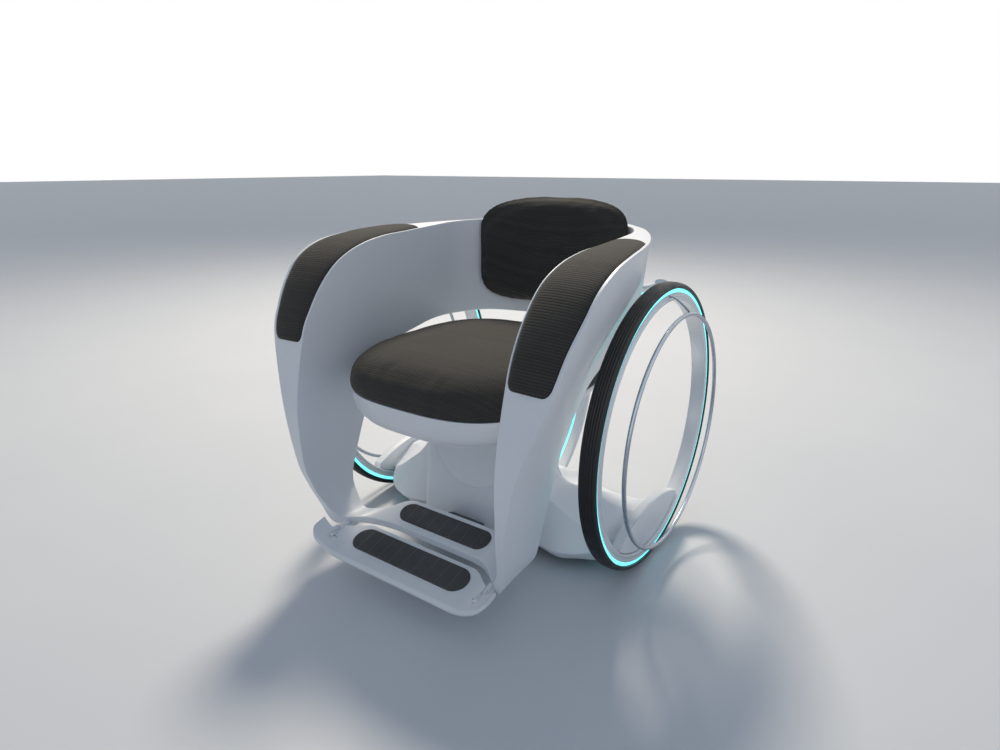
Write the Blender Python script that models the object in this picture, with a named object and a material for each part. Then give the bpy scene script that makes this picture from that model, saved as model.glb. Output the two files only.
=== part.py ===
"""Wheelchair with an armchair shell, hubless lit wheels, a lifting seat and a flip-up footplate.

Lengths are metres and +Z is up. The sitter faces -Y and +X is the sitter's left. The shapes are worked out
with the wheels' axis at Y = 0 and the floor at Z = 0, and one empty then moves the whole chair so that the
origin lies under its middle. Left and right pieces are mirror images of each other.
"""
import math

import bmesh
import bpy
import numpy as np
from mathutils import Matrix, Vector

SIDES = (("left", 1), ("right", -1))
GAP = 0.0003                 # between two pieces that touch
FREE = 0.0006                # round a piece that turns or slides in another

# Wheels
WHEEL_RADIUS = 0.305
WHEEL_PLANE = 0.339          # middle of a wheel from the chair's middle
WHEEL_SEGMENTS = 40
ROUND = 24                   # sides of a round piece
SMALL_ROUND = 16
TYRE_WIDTH = 0.0354
TYRE_DEPTH = 0.0115
LIGHT_RING_DEPTH = 0.0083
LIGHT_RING_PROUD = 0.0008
RIM_DEPTH = 0.0235
RIM_WIDTH = 0.0304
RIM_WEB_WIDTH = 0.0240
PUSH_RIM_RADIUS = 0.245
PUSH_RIM_OUT = 0.047         # push rim's plane from the wheel's plane
PUSH_RIM_TUBE = 0.0042
STAY_RADIUS = 0.0026
STAY_SEAT = 0.0045           # from the light ring in to where a stay stands on the rim
STAY_ANGLES = ((90, 82), (-93, -108))   # degrees at the rim and at the push rim

# Pods inside the wheels
POD_WIDTH = 0.0210
POD_COVER = 0.0032
POD_HALF_LENGTH = 0.155
POD_CREST = 0.128            # height of the arched top at its middle
POD_ARCH_RADIUS = 0.352
POD_CLEARANCE = 0.0012       # from the pod's edge to the rim
ROLLER_RADIUS = 0.018
ROLLER_WIDTH = 0.011
ROLLER_ANGLE = 24            # degrees from the wheel's lowest point
ROLLER_PIN = 0.0040
POCKET_FLOOR = 0.0035
POCKET_ROOM = 0.0020         # round a roller in its pocket

# Rear fork: spine and arms
FORK_RADIUS = 0.324          # spine's middle from the wheels' axis
ARM_TIP_RADIUS = 0.302
SPINE_WIDTH = 0.0570
SPINE_THICKNESS = 0.0140
ARM_TIP_WIDTH = 0.0270
ARM_TIP_THICKNESS = 0.0120
SPINE_START = -54            # degrees round the axis, 0 at the rear, 90 at the top
FORK_START = -13
ARM_END = 76
ARM_LIGHT_END = 66
ARM_OFFSETS = ((-13, 0.0144), (0, 0.030), (20, 0.085), (35, 0.138), (50, 0.201), (60, 0.262), (68, 0.291),
               (76, 0.304))
LIGHT_STRIP_WIDTH = 0.0050
LIGHT_STRIP_DEPTH = 0.0024
LIGHT_STRIP_PROUD = 0.0006
FORK_CHAMFER = 0.0035
GUIDE_ANGLE = 73.5
GUIDE_RADIUS = 0.0100
GUIDE_WIDTH = 0.0090
GUIDE_PIN = 0.0026
GUIDE_HEAD = 0.0048
GUIDE_HEAD_LENGTH = 0.0020
GUIDE_TRACK = 0.2810         # middle of the guide roller from the wheels' axis
MOUNT_HEIGHT = 0.540
MOUNT_RADIUS = 0.0080

# Base between the wheels
BASE_BOTTOM = 0.026
BASE_WALL = 0.0045
BASE_PLATE_THICKNESS = 0.0030
BASE_OPENING_HALF = 0.283
BASE_TYRE_GAP = 0.0020
COLUMN_HALF_WIDTH = 0.118
COLUMN_SIDE = 0.127          # where the column's front face turns back to the wing
COLUMN_DROP = 0.0140         # from the seat pan's bottom to the column's top
COLUMN_FRONT_TOP = -0.185
COLUMN_FRONT_FOOT = -0.2075
COLUMN_NOSE = 0.045          # height of the front face's foot
DISH_RADIUS = 0.113
DISH_DEPTH = 0.012
DISH_DROP = 0.021            # from the column's top to the dish's middle
BATTERY = (0.240, 0.100, 0.034)
BATTERY_MIDDLE = 0.040
CONTROLLER = (0.080, 0.050, 0.022)
CONTROLLER_MIDDLE = -0.055

# Casters under the base
CASTER_OUT = 0.084
CASTER_PLACE = -0.146
CASTER_RADIUS = 0.022
CASTER_WIDTH = 0.016
CASTER_EDGE = 0.003
CASTER_TRAIL = 0.012
CASTER_PIN = 0.0030
CASTER_STEM = 0.0050
CASTER_CROWN = 0.0070
CASTER_CROWN_ROOM = 0.0020   # from the wheel to the crown
CASTER_PRONG = 0.0038
CUP_RADIUS = 0.0405
CUP_WALL = 0.0025
CUP_TOP = 0.0040
BOSS_RADIUS = 0.0110
BOSS_HEIGHT = 0.0180

# Seat and its lift
SEAT_HALF_WIDTH = 0.238
SEAT_HALF_LENGTH = 0.263
SEAT_MIDDLE = -0.151
SEAT_SHAPE = 3.0             # exponent of the seat's outline, 2 is an ellipse
SEAT_SEAM = 0.395
SEAT_DOME = 0.088
DOME_SHAPE = 3.2
SEAT_SUNK = 0.040            # cushion's depth in the pan
PAN_DEPTH = 0.098
PAN_RIM = 0.975              # rim, lower edge and flat bottom, as shares of the seat's outline
PAN_EDGE = 0.90
PAN_FLAT = 0.42
PAN_SIDE = 0.035             # height of the pan's side, from its lower edge to its rim
PAN_TILT = 0.10              # rise of the lower edge towards the rear, for a length of 1
PAN_WALL = 0.0060
PAN_EDGE_WALL = 0.035        # how far inside the lower edge the tray's floor ends, as a share
CUSHION_EASE = 0.020         # how far the cushion's underside stays inside the turns of the tray, as a share
CUSHION_OVERHANG = 0.988     # where the cushion leaves the rim, as a share
LIFT_PLACE = -0.125
LIFT_RADIUS = 0.030
LIFT_WALL = 0.0040
LIFT_REACH = 0.190           # lift tube's length below its flange
LIFT_FLANGE_RADIUS = 0.050
LIFT_FLANGE = 0.0100
GUIDE_TUBE_WALL = 0.0035
GUIDE_BUSH_WALL = 0.0032
GUIDE_BUSH_LENGTH = 0.060
GUIDE_FLANGE = 0.0030
SPRING_RADIUS = 0.0130
SPRING_TOP = 0.200
SPRING_ROD = 0.0050
SPRING_ROD_REACH = 0.110     # rod's length inside the spring with the seat down
SPRING_BORE = 0.150

# Armchair shell
SHELL_EDGE = 0.0090
SHELL_BULGE = 0.0060
SHELL_WALL = 0.0045
SHELL_BULGE_FROM = (0.10, 0.25)   # depths of section between which the outer face starts to bulge
ROOM_LEAST_WIDTH = 0.006
ROOM_LOW = 0.400             # height of the leg at which the hollow ends
SHELL_STEPS = 2              # sections to each row of guide points
FOOT_ROW = 16                # row at which the leg has become the footplate
PAD_BACK_PLACE = -0.050
PAD_FRONT_HEIGHT = 0.490
PAD_INNER_MARGIN = 0.0040
PAD_OUTER_MARGIN = 0.0075
PAD_SUNK = 0.0050
PAD_CROWN = 0.0060
PAD_CORNER = 0.016
BRACKET_HALF_WIDTH = 0.045
BRACKET_THICKNESS = 0.018

# Back cushion
BACK_HALF_WIDTH = 0.200
BACK_BOTTOM = 0.500
BACK_TOP = 0.758
BACK_SHAPE = 5.5             # exponent of the cushion's outline, 2 is an ellipse
BACK_THICKNESS = 0.038
BACK_DROP = 0.022            # top edge's fall from the middle to the sides
BACK_REST_TOP = 0.700        # height up to which the cushion follows the shell's inner face
BACK_STANDOFF = 0.0020       # from the shell's curve to the cushion's flat-sided back

# Footplates
REAR_GRIP = (0.120, 0.025)   # half length and half width
REAR_GRIP_PLACE = -0.290
FRONT_GRIP = (0.150, 0.030)
FRONT_GRIP_PLACE = -0.402
GRIP_THICKNESS = 0.0032
GRIP_SUNK = 0.0020
PLATE_THICKNESS = 0.0110
PLATE_HALF_WIDTH = 0.234
PLATE_FRONT = -0.464
PLATE_CORNER = 0.026
PLATE_LEAST_DEPTH = 0.012
PLATE_HEIGHT = 0.0800        # top face at PLATE_LEVEL_PLACE
PLATE_LEVEL_PLACE = -0.372
PLATE_SLOPE = 0.2333
PLATE_RISE = 0.035           # how far the ends turn up
PLATE_RISE_START = 0.150
PLATE_REAR = ((0.0, -0.360), (0.138, -0.360), (0.152, -0.3655), (0.165, -0.3745), (0.178, -0.385),
              (0.190, -0.395), (0.200, -0.4055), (0.206, -0.4195), (0.234, -0.4195))
HINGE_PLACE = (-0.4305, 0.0708)
HINGE_OUT = 0.194
HINGE_LUG = 0.0080
HINGE_EYE = 0.0070
HINGE_PIN = 0.0028
HINGE_PIN_LENGTH = 0.0220
SLOT_OPENED = 0.0090

SHARP_ANGLE = math.radians(35)
COLUMN_TOP = SEAT_SEAM - PAN_DEPTH - COLUMN_DROP
DISH_HEIGHT = COLUMN_TOP - DISH_DROP
AXLE_HEIGHT = WHEEL_RADIUS
REAR_REACH = FORK_RADIUS + SPINE_THICKNESS / 2
CHAIR_SHIFT = -(PLATE_FRONT + REAR_REACH) / 2


# Shapes

def clear_scene():
    for obj in list(bpy.data.objects):
        bpy.data.objects.remove(obj, do_unlink=True)


def finish_material(name, colour, roughness, metallic=0.0, glow=0.0):
    material = bpy.data.materials.new(name)
    material.use_nodes = True
    shader = material.node_tree.nodes["Principled BSDF"]
    shader.inputs["Base Color"].default_value = (*colour, 1)
    shader.inputs["Roughness"].default_value = roughness
    shader.inputs["Metallic"].default_value = metallic
    shader.inputs["Emission Color"].default_value = (*colour, 1)
    shader.inputs["Emission Strength"].default_value = glow
    material.diffuse_color = (*colour, 1)
    return material


def piece(name, bm, material, origin=(0, 0, 0)):
    """One object from a closed mesh, with its own origin and its faces pointing out."""
    bmesh.ops.translate(bm, vec=-Vector(origin), verts=bm.verts)
    if bm.calc_volume(signed=True) < 0:
        bmesh.ops.reverse_faces(bm, faces=bm.faces)
    mesh = bpy.data.meshes.new(name)
    bm.to_mesh(mesh)
    bm.free()
    mesh.shade_smooth()
    mesh.set_sharp_from_angle(angle=SHARP_ANGLE)
    obj = bpy.data.objects.new(name, mesh)
    obj.location = origin
    obj.parent = chair
    if material:
        mesh.materials.append(material)
    bpy.context.scene.collection.objects.link(obj)
    return obj


def change(obj, operation, name, bm, solver="EXACT"):
    """Cuts a shape from an object, or joins it on."""
    bmesh.ops.triangulate(bm, faces=bm.faces)
    tool = piece(name, bm, None)
    tool.hide_render = True
    tool.display_type = "WIRE"
    boolean = obj.modifiers.new(name, "BOOLEAN")
    boolean.operation = operation
    boolean.solver = solver
    boolean.object = tool


def cut(obj, name, bm, solver="EXACT"):
    change(obj, "DIFFERENCE", name, bm, solver)


def join(obj, name, bm):
    change(obj, "UNION", name, bm)


def loft(rings):
    """A skin through rings of equally many points, flat across the first and the last.

    Every four-sided field is split along the same diagonal, so that a piece and the cut it lies in agree.
    """
    bm = bmesh.new()
    loops = [[bm.verts.new(point) for point in ring] for ring in rings]
    for near, far in zip(loops, loops[1:]):
        for i in range(len(near)):
            j = (i + 1) % len(near)
            bm.faces.new((near[i], near[j], far[j]))
            bm.faces.new((near[i], far[j], far[i]))
    caps = [bm.faces.new(reversed(loops[0])), bm.faces.new(loops[-1])]
    bmesh.ops.triangulate(bm, faces=caps)
    return bm


def domed(first, rings, last):
    """A skin through rings of equally many points that closes on a point at each end."""
    bm = bmesh.new()
    loops = [[bm.verts.new(point) for point in ring] for ring in rings]
    ends = bm.verts.new(first), bm.verts.new(last)
    for near, far in zip(loops, loops[1:]):
        for i in range(len(near)):
            j = (i + 1) % len(near)
            bm.faces.new((near[i], near[j], far[j], far[i]))
    for end, loop in zip(ends, (loops[0][::-1], loops[-1])):
        for i in range(len(loop)):
            bm.faces.new((end, loop[i], loop[(i + 1) % len(loop)]))
    return bm


def turned(profile, axis, centre, segments, closed=True):
    """A profile of (along, radius) points turned about an axis: a ring, or a solid from axis to axis."""
    bm = bmesh.new()
    along = Vector(axis)
    out = Vector((0, 1, 0)) if axis[0] else Vector((1, 0, 0))
    verts = [bm.verts.new(Vector(centre) + along * a + out * r) for a, r in profile]
    pairs = zip(verts, verts[1:] + verts[:1]) if closed else zip(verts, verts[1:])
    edges = [bm.edges.new(pair) for pair in pairs]
    bmesh.ops.spin(bm, geom=verts + edges, cent=centre, axis=along, angle=2 * math.pi, steps=segments,
                   use_merge=True)
    bmesh.ops.remove_doubles(bm, verts=bm.verts, dist=1e-5)
    return bm


def disc(radius, start, end, axis, centre, segments):
    profile = ((start, 0), (start, radius), (end, radius), (end, 0))
    return turned(profile, axis, centre, segments, closed=False)


def tube(outer, inner, start, end, axis, centre, segments):
    profile = ((start, inner), (start, outer), (end, outer), (end, inner))
    return turned(profile, axis, centre, segments)


def rod(start, end, radius, segments=12):
    """A straight round bar between two points."""
    start, end = Vector(start), Vector(end)
    bm = disc(radius, 0, (end - start).length, (0, 0, 1), (0, 0, 0), segments)
    turn = (end - start).to_track_quat("Z", "Y").to_matrix().to_4x4()
    bmesh.ops.transform(bm, matrix=Matrix.Translation(start) @ turn, verts=bm.verts)
    return bm


def block(size, centre, edge):
    """A box with its edges rounded off."""
    bm = bmesh.new()
    bmesh.ops.create_cube(bm, size=1)
    bmesh.ops.scale(bm, vec=size, verts=bm.verts)
    bmesh.ops.translate(bm, vec=centre, verts=bm.verts)
    bmesh.ops.bevel(bm, geom=bm.edges, offset=edge, segments=2, affect="EDGES", profile=0.5)
    return bm


def slab(outline, start, end):
    """An outline of (y, z) points carried from one X to another."""
    return loft([[(x, y, z) for y, z in outline] for x in (start, end)])


def between(rows, value):
    """Value at a place in rows of (place, value, ...), joined by straight lines."""
    places = [row[0] for row in rows]
    columns = [np.interp(value, places, column) for column in list(zip(*rows))[1:]]
    return columns[0] if len(columns) == 1 else columns


def smooth_between(rows, value):
    """As between, but along a smooth curve through the rows."""
    places = [row[0] for row in rows]
    values = [row[1] for row in rows]
    slopes = np.gradient(values, places)
    i = min(max(np.searchsorted(places, value) - 1, 0), len(rows) - 2)
    span = places[i + 1] - places[i]
    t = (value - places[i]) / span
    start, end = 2 * t**3 - 3 * t**2 + 1, 3 * t**2 - 2 * t**3
    leave, arrive = t**3 - 2 * t**2 + t, t**3 - t**2
    return (start * values[i] + end * values[i + 1]
            + span * (leave * slopes[i] + arrive * slopes[i + 1]))


def inset(outline, depth):
    """An outline of (a, b) points moved inwards by a wall, corner by corner."""
    points = [Vector(point) for point in outline]
    area = sum(p.x * q.y - p.y * q.x for p, q in zip(points, points[1:] + points[:1]))
    turn = math.copysign(1, area)
    moved = []
    for before, here, after in zip(points[-1:] + points[:-1], points, points[1:] + points[:1]):
        arriving, leaving = (here - before).normalized(), (after - here).normalized()
        inward = Vector((-arriving.y, arriving.x)) * turn, Vector((-leaving.y, leaving.x)) * turn
        middle = (inward[0] + inward[1]).normalized()
        moved.append(here + middle * depth / max(middle.dot(inward[0]), 0.3))
    return [tuple(point) for point in moved]


# Wheels

RIM_OUTER = WHEEL_RADIUS - TYRE_DEPTH
RIM_INNER = RIM_OUTER - RIM_DEPTH
LIGHT_INNER = RIM_OUTER - LIGHT_RING_DEPTH
FLATNESS = math.cos(math.pi / WHEEL_SEGMENTS)


def mirrored(half):
    """A closed profile from the half at positive places, outermost point first."""
    return list(half) + [(-a, r) for a, r in reversed(half)]


def tyre_profile():
    half = TYRE_WIDTH / 2
    seat = RIM_OUTER + GAP
    return mirrored(((0.22 * TYRE_WIDTH, WHEEL_RADIUS), (half, seat + 0.5 * TYRE_DEPTH), (half, seat)))


def rim_profile():
    face, web = RIM_WIDTH / 2, RIM_WEB_WIDTH / 2
    return mirrored(((web, RIM_OUTER), (web, LIGHT_INNER), (face, LIGHT_INNER), (face, RIM_INNER)))


def light_profile(direction):
    start, proud = RIM_WEB_WIDTH / 2 + GAP, RIM_WIDTH / 2 + LIGHT_RING_PROUD
    low, high = LIGHT_INNER + GAP, RIM_OUTER - GAP
    round_off = 0.0012
    half = (start, low), (proud, low + round_off), (proud, high - round_off), (start, high)
    return [(direction * a, r) for a, r in half]


def on_wheel(side, out, radius, degrees):
    angle = math.radians(degrees)
    height = AXLE_HEIGHT + radius * math.sin(angle)
    return Vector((side * (WHEEL_PLANE + out), radius * math.cos(angle), height))


def build_wheel(label, side):
    hub = (side * WHEEL_PLANE, 0, AXLE_HEIGHT)
    across = (1, 0, 0)
    for name, profile, material in (
            ("tyre", tyre_profile(), rubber),
            ("rim", rim_profile(), white_enamel),
            ("outer_light_ring", light_profile(side), cyan_light),
            ("inner_light_ring", light_profile(-side), cyan_light)):
        piece(f"{name}_{label}", turned(profile, across, hub, WHEEL_SEGMENTS), material, hub)
    build_push_rim(label, side, hub)


def build_push_rim(label, side, hub):
    corners = 6
    turns = [2 * math.pi * (i + 0.5) / corners for i in range(corners)]
    section = [(side * PUSH_RIM_OUT + PUSH_RIM_TUBE * math.cos(a),
                PUSH_RIM_RADIUS + PUSH_RIM_TUBE * math.sin(a)) for a in turns]
    push_rim = piece(f"push_rim_{label}", turned(section, (1, 0, 0), hub, WHEEL_SEGMENTS), satin_metal, hub)
    for count, (at_rim, at_tube) in enumerate(STAY_ANGLES):
        foot = on_wheel(side, RIM_WIDTH / 2 + GAP + STAY_RADIUS, LIGHT_INNER - STAY_SEAT, at_rim)
        tip = on_wheel(side, PUSH_RIM_OUT, PUSH_RIM_RADIUS, at_tube)
        join(push_rim, f"stay_{label}_{count}", rod(foot, tip, STAY_RADIUS, 6))


# Pods and their rollers

ROLLER_TRACK = RIM_INNER * FLATNESS - GAP - ROLLER_RADIUS
POD_INNER_FACE = WHEEL_PLANE - POD_WIDTH / 2
POD_SPLIT = WHEEL_PLANE + POD_WIDTH / 2 - POD_COVER


def pod_outline():
    """The pod seen from the side: the rim's curve below and a flatter arch above."""
    low_radius = RIM_INNER - POD_CLEARANCE
    reach = math.asin(POD_HALF_LENGTH / low_radius)
    low = [(low_radius * math.sin(a), AXLE_HEIGHT - low_radius * math.cos(a))
           for a in np.linspace(-reach, reach, 17)]
    arch_reach = math.asin(POD_HALF_LENGTH / POD_ARCH_RADIUS)
    arch_middle = POD_CREST - POD_ARCH_RADIUS
    high = [(POD_ARCH_RADIUS * math.sin(a), arch_middle + POD_ARCH_RADIUS * math.cos(a))
            for a in np.linspace(arch_reach, -arch_reach, 11)]
    return low + high


def roller_hubs(side):
    turns = [math.radians(-90 + direction * ROLLER_ANGLE) for direction in (-1, 1)]
    return [Vector((side * WHEEL_PLANE, ROLLER_TRACK * math.cos(a), AXLE_HEIGHT + ROLLER_TRACK * math.sin(a)))
            for a in turns]


def build_pod(label, side):
    outline = pod_outline()
    body = slab(outline, side * POD_INNER_FACE, side * POD_SPLIT)
    housing = piece(f"pod_housing_{label}", body, white_plastic)
    cover_start, cover_end = POD_SPLIT + GAP, POD_SPLIT + POD_COVER
    piece(f"pod_cover_{label}", slab(outline, side * cover_start, side * cover_end), white_plastic)
    floor = side * (POD_INNER_FACE + POCKET_FLOOR - WHEEL_PLANE)
    past_split = side * (POD_SPLIT - WHEEL_PLANE + POD_COVER)
    for place, hub in zip(("front", "rear"), roller_hubs(side)):
        pocket = tube(ROLLER_RADIUS + POCKET_ROOM, ROLLER_PIN, floor, past_split, (1, 0, 0), hub, SMALL_ROUND)
        cut(housing, f"pocket_{place}_{label}", pocket)
        half = ROLLER_WIDTH / 2
        roller = tube(ROLLER_RADIUS, ROLLER_PIN + GAP, -half, half, (1, 0, 0), hub, SMALL_ROUND)
        piece(f"rim_roller_{place}_{label}", roller, grey_plastic, hub)


# Rear fork

def fork_radius(degrees):
    start, end = math.radians(20), math.radians(ARM_END)
    share = min(max((math.radians(degrees) - start) / (end - start), 0), 1)
    return FORK_RADIUS + (ARM_TIP_RADIUS - FORK_RADIUS) * share * share * (3 - 2 * share)


def arm_share(degrees):
    return min(max((degrees - FORK_START) / (ARM_END - FORK_START), 0), 1)


def arm_middle(degrees):
    return smooth_between(ARM_OFFSETS, degrees)


def on_fork(offset, height, degrees):
    """Point of the fork: offset across and height outwards from its middle surface."""
    angle = math.radians(degrees)
    radius = fork_radius(degrees) + height
    return (offset, radius * math.cos(angle), AXLE_HEIGHT + radius * math.sin(angle))


def ribbon_ring(middle, half, thickness, degrees, lean=0.0, grow=0.0):
    """The fork's section, grooved for the light strip in its inner face unless it is grown for a cut."""
    h, t, c = half + grow, thickness / 2 + grow, FORK_CHAMFER
    g, d = LIGHT_STRIP_WIDTH / 2 + 2 * GAP, LIGHT_STRIP_DEPTH
    groove = [] if grow else [(g, -t), (g, -t + d), (-g, -t + d), (-g, -t)]
    section = [(-h, -t + c), (-h, t - c), (-h + c, t), (h - c, t), (h, t - c), (h, -t + c), (h - c, -t),
               *groove, (-h + c, -t)]
    return [on_fork(middle + a, b, degrees + lean * a) for a, b in section]


def strip_ring(middle, thickness, degrees, lean=0.0, grow=0.0):
    g, floor = LIGHT_STRIP_WIDTH / 2 + grow, -thickness / 2 + LIGHT_STRIP_DEPTH - 2 * GAP
    face = -thickness / 2 - LIGHT_STRIP_PROUD - grow
    section = ((-g, floor), (g, floor), (g, face), (-g, face))
    return [on_fork(middle + a, b, degrees + lean * a) for a, b in section]


def arm_lean(degrees):
    """Degrees by which the arm's section turns for each metre across, square to the arm's run."""
    step = 1.0
    low, high = max(degrees - step, FORK_START), min(degrees + step, ARM_END)
    across = arm_middle(high) - arm_middle(low)
    run = fork_radius(degrees) * math.radians(high - low)
    fade = min(1.0, (degrees - FORK_START) / 12.0)
    return -math.degrees(across / run) / fork_radius(degrees) * fade


def arm_thickness(degrees):
    share = arm_share(degrees)
    return SPINE_THICKNESS * (1 - share) + ARM_TIP_THICKNESS * share


def arm_ring(degrees, side, grow=0.0):
    share = arm_share(degrees)
    half = (SPINE_WIDTH / 4 - GAP / 2) * (1 - share) + ARM_TIP_WIDTH / 2 * share
    ring = ribbon_ring(arm_middle(degrees), half, arm_thickness(degrees), degrees, arm_lean(degrees), grow)
    return [(side * x, y, z) for x, y, z in ring]


def arm_light_ring(degrees, side, grow=0.0):
    ring = strip_ring(arm_middle(degrees), arm_thickness(degrees), degrees, arm_lean(degrees), grow)
    return [(side * x, y, z) for x, y, z in ring]


def build_spine():
    stop = FORK_START - math.degrees(GAP / FORK_RADIUS)
    places = np.linspace(SPINE_START, stop, 9)
    rings = [ribbon_ring(0, SPINE_WIDTH / 2, SPINE_THICKNESS, a) for a in places]
    piece("rear_spine", loft(rings), white_plastic)
    piece("spine_light", loft([strip_ring(0, SPINE_THICKNESS, a) for a in places]), cyan_light)


def build_arm(label, side):
    places = sorted([*np.linspace(FORK_START, ARM_END, 14), ARM_LIGHT_END])
    piece(f"rear_arm_{label}", loft([arm_ring(a, side) for a in places]), white_plastic)
    lit = [a for a in places if a <= ARM_LIGHT_END]
    piece(f"arm_light_{label}", loft([arm_light_ring(a, side) for a in lit]), cyan_light)
    build_side_guide(label, side)


def build_side_guide(label, side):
    """The roller at the arm's end that keeps the rim from moving in, and the pin that holds it."""
    face_out = WHEEL_PLANE - RIM_WIDTH / 2 - GAP - GUIDE_RADIUS
    angle = math.radians(GUIDE_ANGLE)
    outward = Vector((0, math.cos(angle), math.sin(angle)))
    foot = Vector((side * face_out, 0, AXLE_HEIGHT))
    hub = foot + outward * GUIDE_TRACK
    turn = Matrix.Translation(hub) @ outward.to_track_quat("Z", "Y").to_matrix().to_4x4()
    half = GUIDE_WIDTH / 2
    roller = tube(GUIDE_RADIUS, GUIDE_PIN + GAP, -half, half, (0, 0, 1), (0, 0, 0), SMALL_ROUND)
    bmesh.ops.transform(roller, matrix=turn, verts=roller.verts)
    piece(f"side_roller_{label}", roller, grey_plastic, hub)
    seat = fork_radius(GUIDE_ANGLE) - arm_thickness(GUIDE_ANGLE) / 2 - GUIDE_TRACK
    shoulder, head = half + FREE, half + GAP
    far_end = -head - GUIDE_HEAD_LENGTH
    profile = ((far_end, 0), (far_end, GUIDE_HEAD), (-head, GUIDE_HEAD), (-head, GUIDE_PIN),
               (shoulder, GUIDE_PIN), (shoulder, GUIDE_HEAD), (seat - GAP, GUIDE_HEAD), (seat - GAP, 0))
    pin = turned(profile, (0, 0, 1), (0, 0, 0), 12, closed=False)
    bmesh.ops.transform(pin, matrix=turn, verts=pin.verts)
    piece(f"side_roller_pin_{label}", pin, satin_metal)


# Base

def spine_seat(height):
    """Point on the spine's lower end face, height outwards from its middle."""
    back_off = math.degrees(GAP / FORK_RADIUS)
    return on_fork(0, height, SPINE_START - back_off)[1:]


def base_rows():
    """Side distance, then (y, z) of foot, nose, brow, crest, deck, tail and heel of the base's section."""
    low, seat_top, seat_low = BASE_BOTTOM, spine_seat(-SPINE_THICKNESS), spine_seat(SPINE_THICKNESS)
    column = ((COLUMN_FRONT_FOOT + 0.012, low), (COLUMN_FRONT_FOOT, COLUMN_NOSE),
              (COLUMN_FRONT_TOP, COLUMN_TOP), (-0.065, COLUMN_TOP), (0.000, 0.112))
    middle = column + (seat_top, seat_low)
    end = ((-0.045, 0.042), (-0.102, 0.064), (-0.106, 0.075), (-0.030, 0.112), (0.040, 0.112), (0.110, 0.072),
           (0.045, 0.042))
    return (
        (SPINE_WIDTH / 2 + 0.002, middle),
        (0.060, column + ((0.187, 0.047), (0.176, low))),
        (COLUMN_HALF_WIDTH, column + ((0.166, 0.048), (0.153, low))),
        (COLUMN_SIDE, ((-0.190, low), (-0.2065, COLUMN_NOSE), (-0.1855, 0.225), (-0.062, 0.235),
                       (0.004, 0.110), (0.163, 0.047), (0.150, low))),
        (0.135, ((-0.1455, low), (-0.166, 0.050), (-0.184, 0.215), (-0.060, 0.178), (0.008, 0.107),
                 (0.160, 0.046), (0.148, low))),
        (0.170, ((-0.148, low), (-0.169, 0.050), (-0.166, 0.176), (-0.058, 0.148), (0.025, 0.103),
                 (0.150, 0.045), (0.138, low))),
        (0.210, ((-0.151, low), (-0.1735, 0.050), (-0.153, 0.142), (-0.055, 0.147), (0.035, 0.103),
                 (0.140, 0.047), (0.128, low))),
        (0.250, ((-0.130, low), (-0.163, 0.053), (-0.140, 0.110), (-0.052, 0.134), (0.040, 0.102),
                 (0.132, 0.050), (0.118, low))),
        (0.290, ((-0.110, low), (-0.137, 0.060), (-0.125, 0.085), (-0.045, 0.122), (0.045, 0.103),
                 (0.125, 0.055), (0.105, low))),
        (WHEEL_PLANE - TYRE_WIDTH / 2 - BASE_TYRE_GAP, end),
        (POD_INNER_FACE - GAP, end),
    )


def base_section(x):
    rows = [(place, *(value for point in points for value in point)) for place, points in base_rows()]
    values = between(rows, abs(x))
    return list(zip(values[0::2], values[1::2]))


def both_ways(places):
    return [-x for x in reversed(places) if x > 0] + list(places)


def tight_section(x):
    """The base's section, drawn in where it shrinks within a wall's width further out."""
    here, further = base_section(x), base_section(abs(x) + BASE_WALL)
    tight = []
    for i, (a, b) in enumerate(zip(here, further)):
        y = max(a[0], b[0]) if i < 3 else min(a[0], b[0])
        z = min(a[1], b[1]) if 1 < i < 6 else max(a[1], b[1])
        tight.append((y, z))
    return tight


def hollow_section(x):
    """The inner face of the base's walls at one side distance, from the bottom's front edge to its rear."""
    points = inset(tight_section(x), BASE_WALL)
    if abs(x) <= COLUMN_SIDE:
        points[1:3] = [(y + DISH_DEPTH, z) for y, z in points[1:3]]
    return [(points[0][0], BASE_BOTTOM)] + points + [(points[-1][0], BASE_BOTTOM)]


def hollow_places():
    places = [place for place, points in base_rows() if place < BASE_OPENING_HALF]
    return both_ways(sorted([*places, COLUMN_HALF_WIDTH - BASE_WALL, BASE_OPENING_HALF]))


def base_walls():
    """The base's outer skin, and inside it an inner skin that meets the outer one round the open bottom."""
    bm = bmesh.new()
    solid_ends = both_ways([place for place, points in base_rows() if place > BASE_OPENING_HALF])
    places = sorted([*hollow_places(), *solid_ends])
    outer = [[bm.verts.new((x, y, z)) for y, z in base_section(x)] for x in places]
    inner = [[bm.verts.new((x, y, z)) for y, z in hollow_section(x)] if x in hollow_places() else []
             for x in places]
    flat = [bm.faces.new(outer[0]), bm.faces.new(outer[-1])]
    for side, hollow in enumerate(inner):
        beside_end = hollow and not (inner[side - 1] and inner[side + 1])
        if beside_end:
            flat.append(bm.faces.new(hollow))
    for skin in (outer, inner):
        for near, far in zip(skin, skin[1:]):
            for i in range(min(len(near), len(far)) - 1):
                bm.faces.new((near[i], near[i + 1], far[i + 1]))
                bm.faces.new((near[i], far[i + 1], far[i]))
    for i in range(len(places) - 1):
        near, far = outer[i], outer[i + 1]
        if inner[i] and inner[i + 1]:
            for end in (0, -1):
                flat.append(bm.faces.new((near[end], far[end], inner[i + 1][end], inner[i][end])))
        else:
            ends = [*inner[i][:1], *inner[i][-1:]], [*inner[i + 1][-1:], *inner[i + 1][:1]]
            flat.append(bm.faces.new((near[0], *ends[0], near[-1], far[-1], *ends[1], far[0])))
    bmesh.ops.triangulate(bm, faces=flat)
    bmesh.ops.recalc_face_normals(bm, faces=bm.faces)
    return bm


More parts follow.
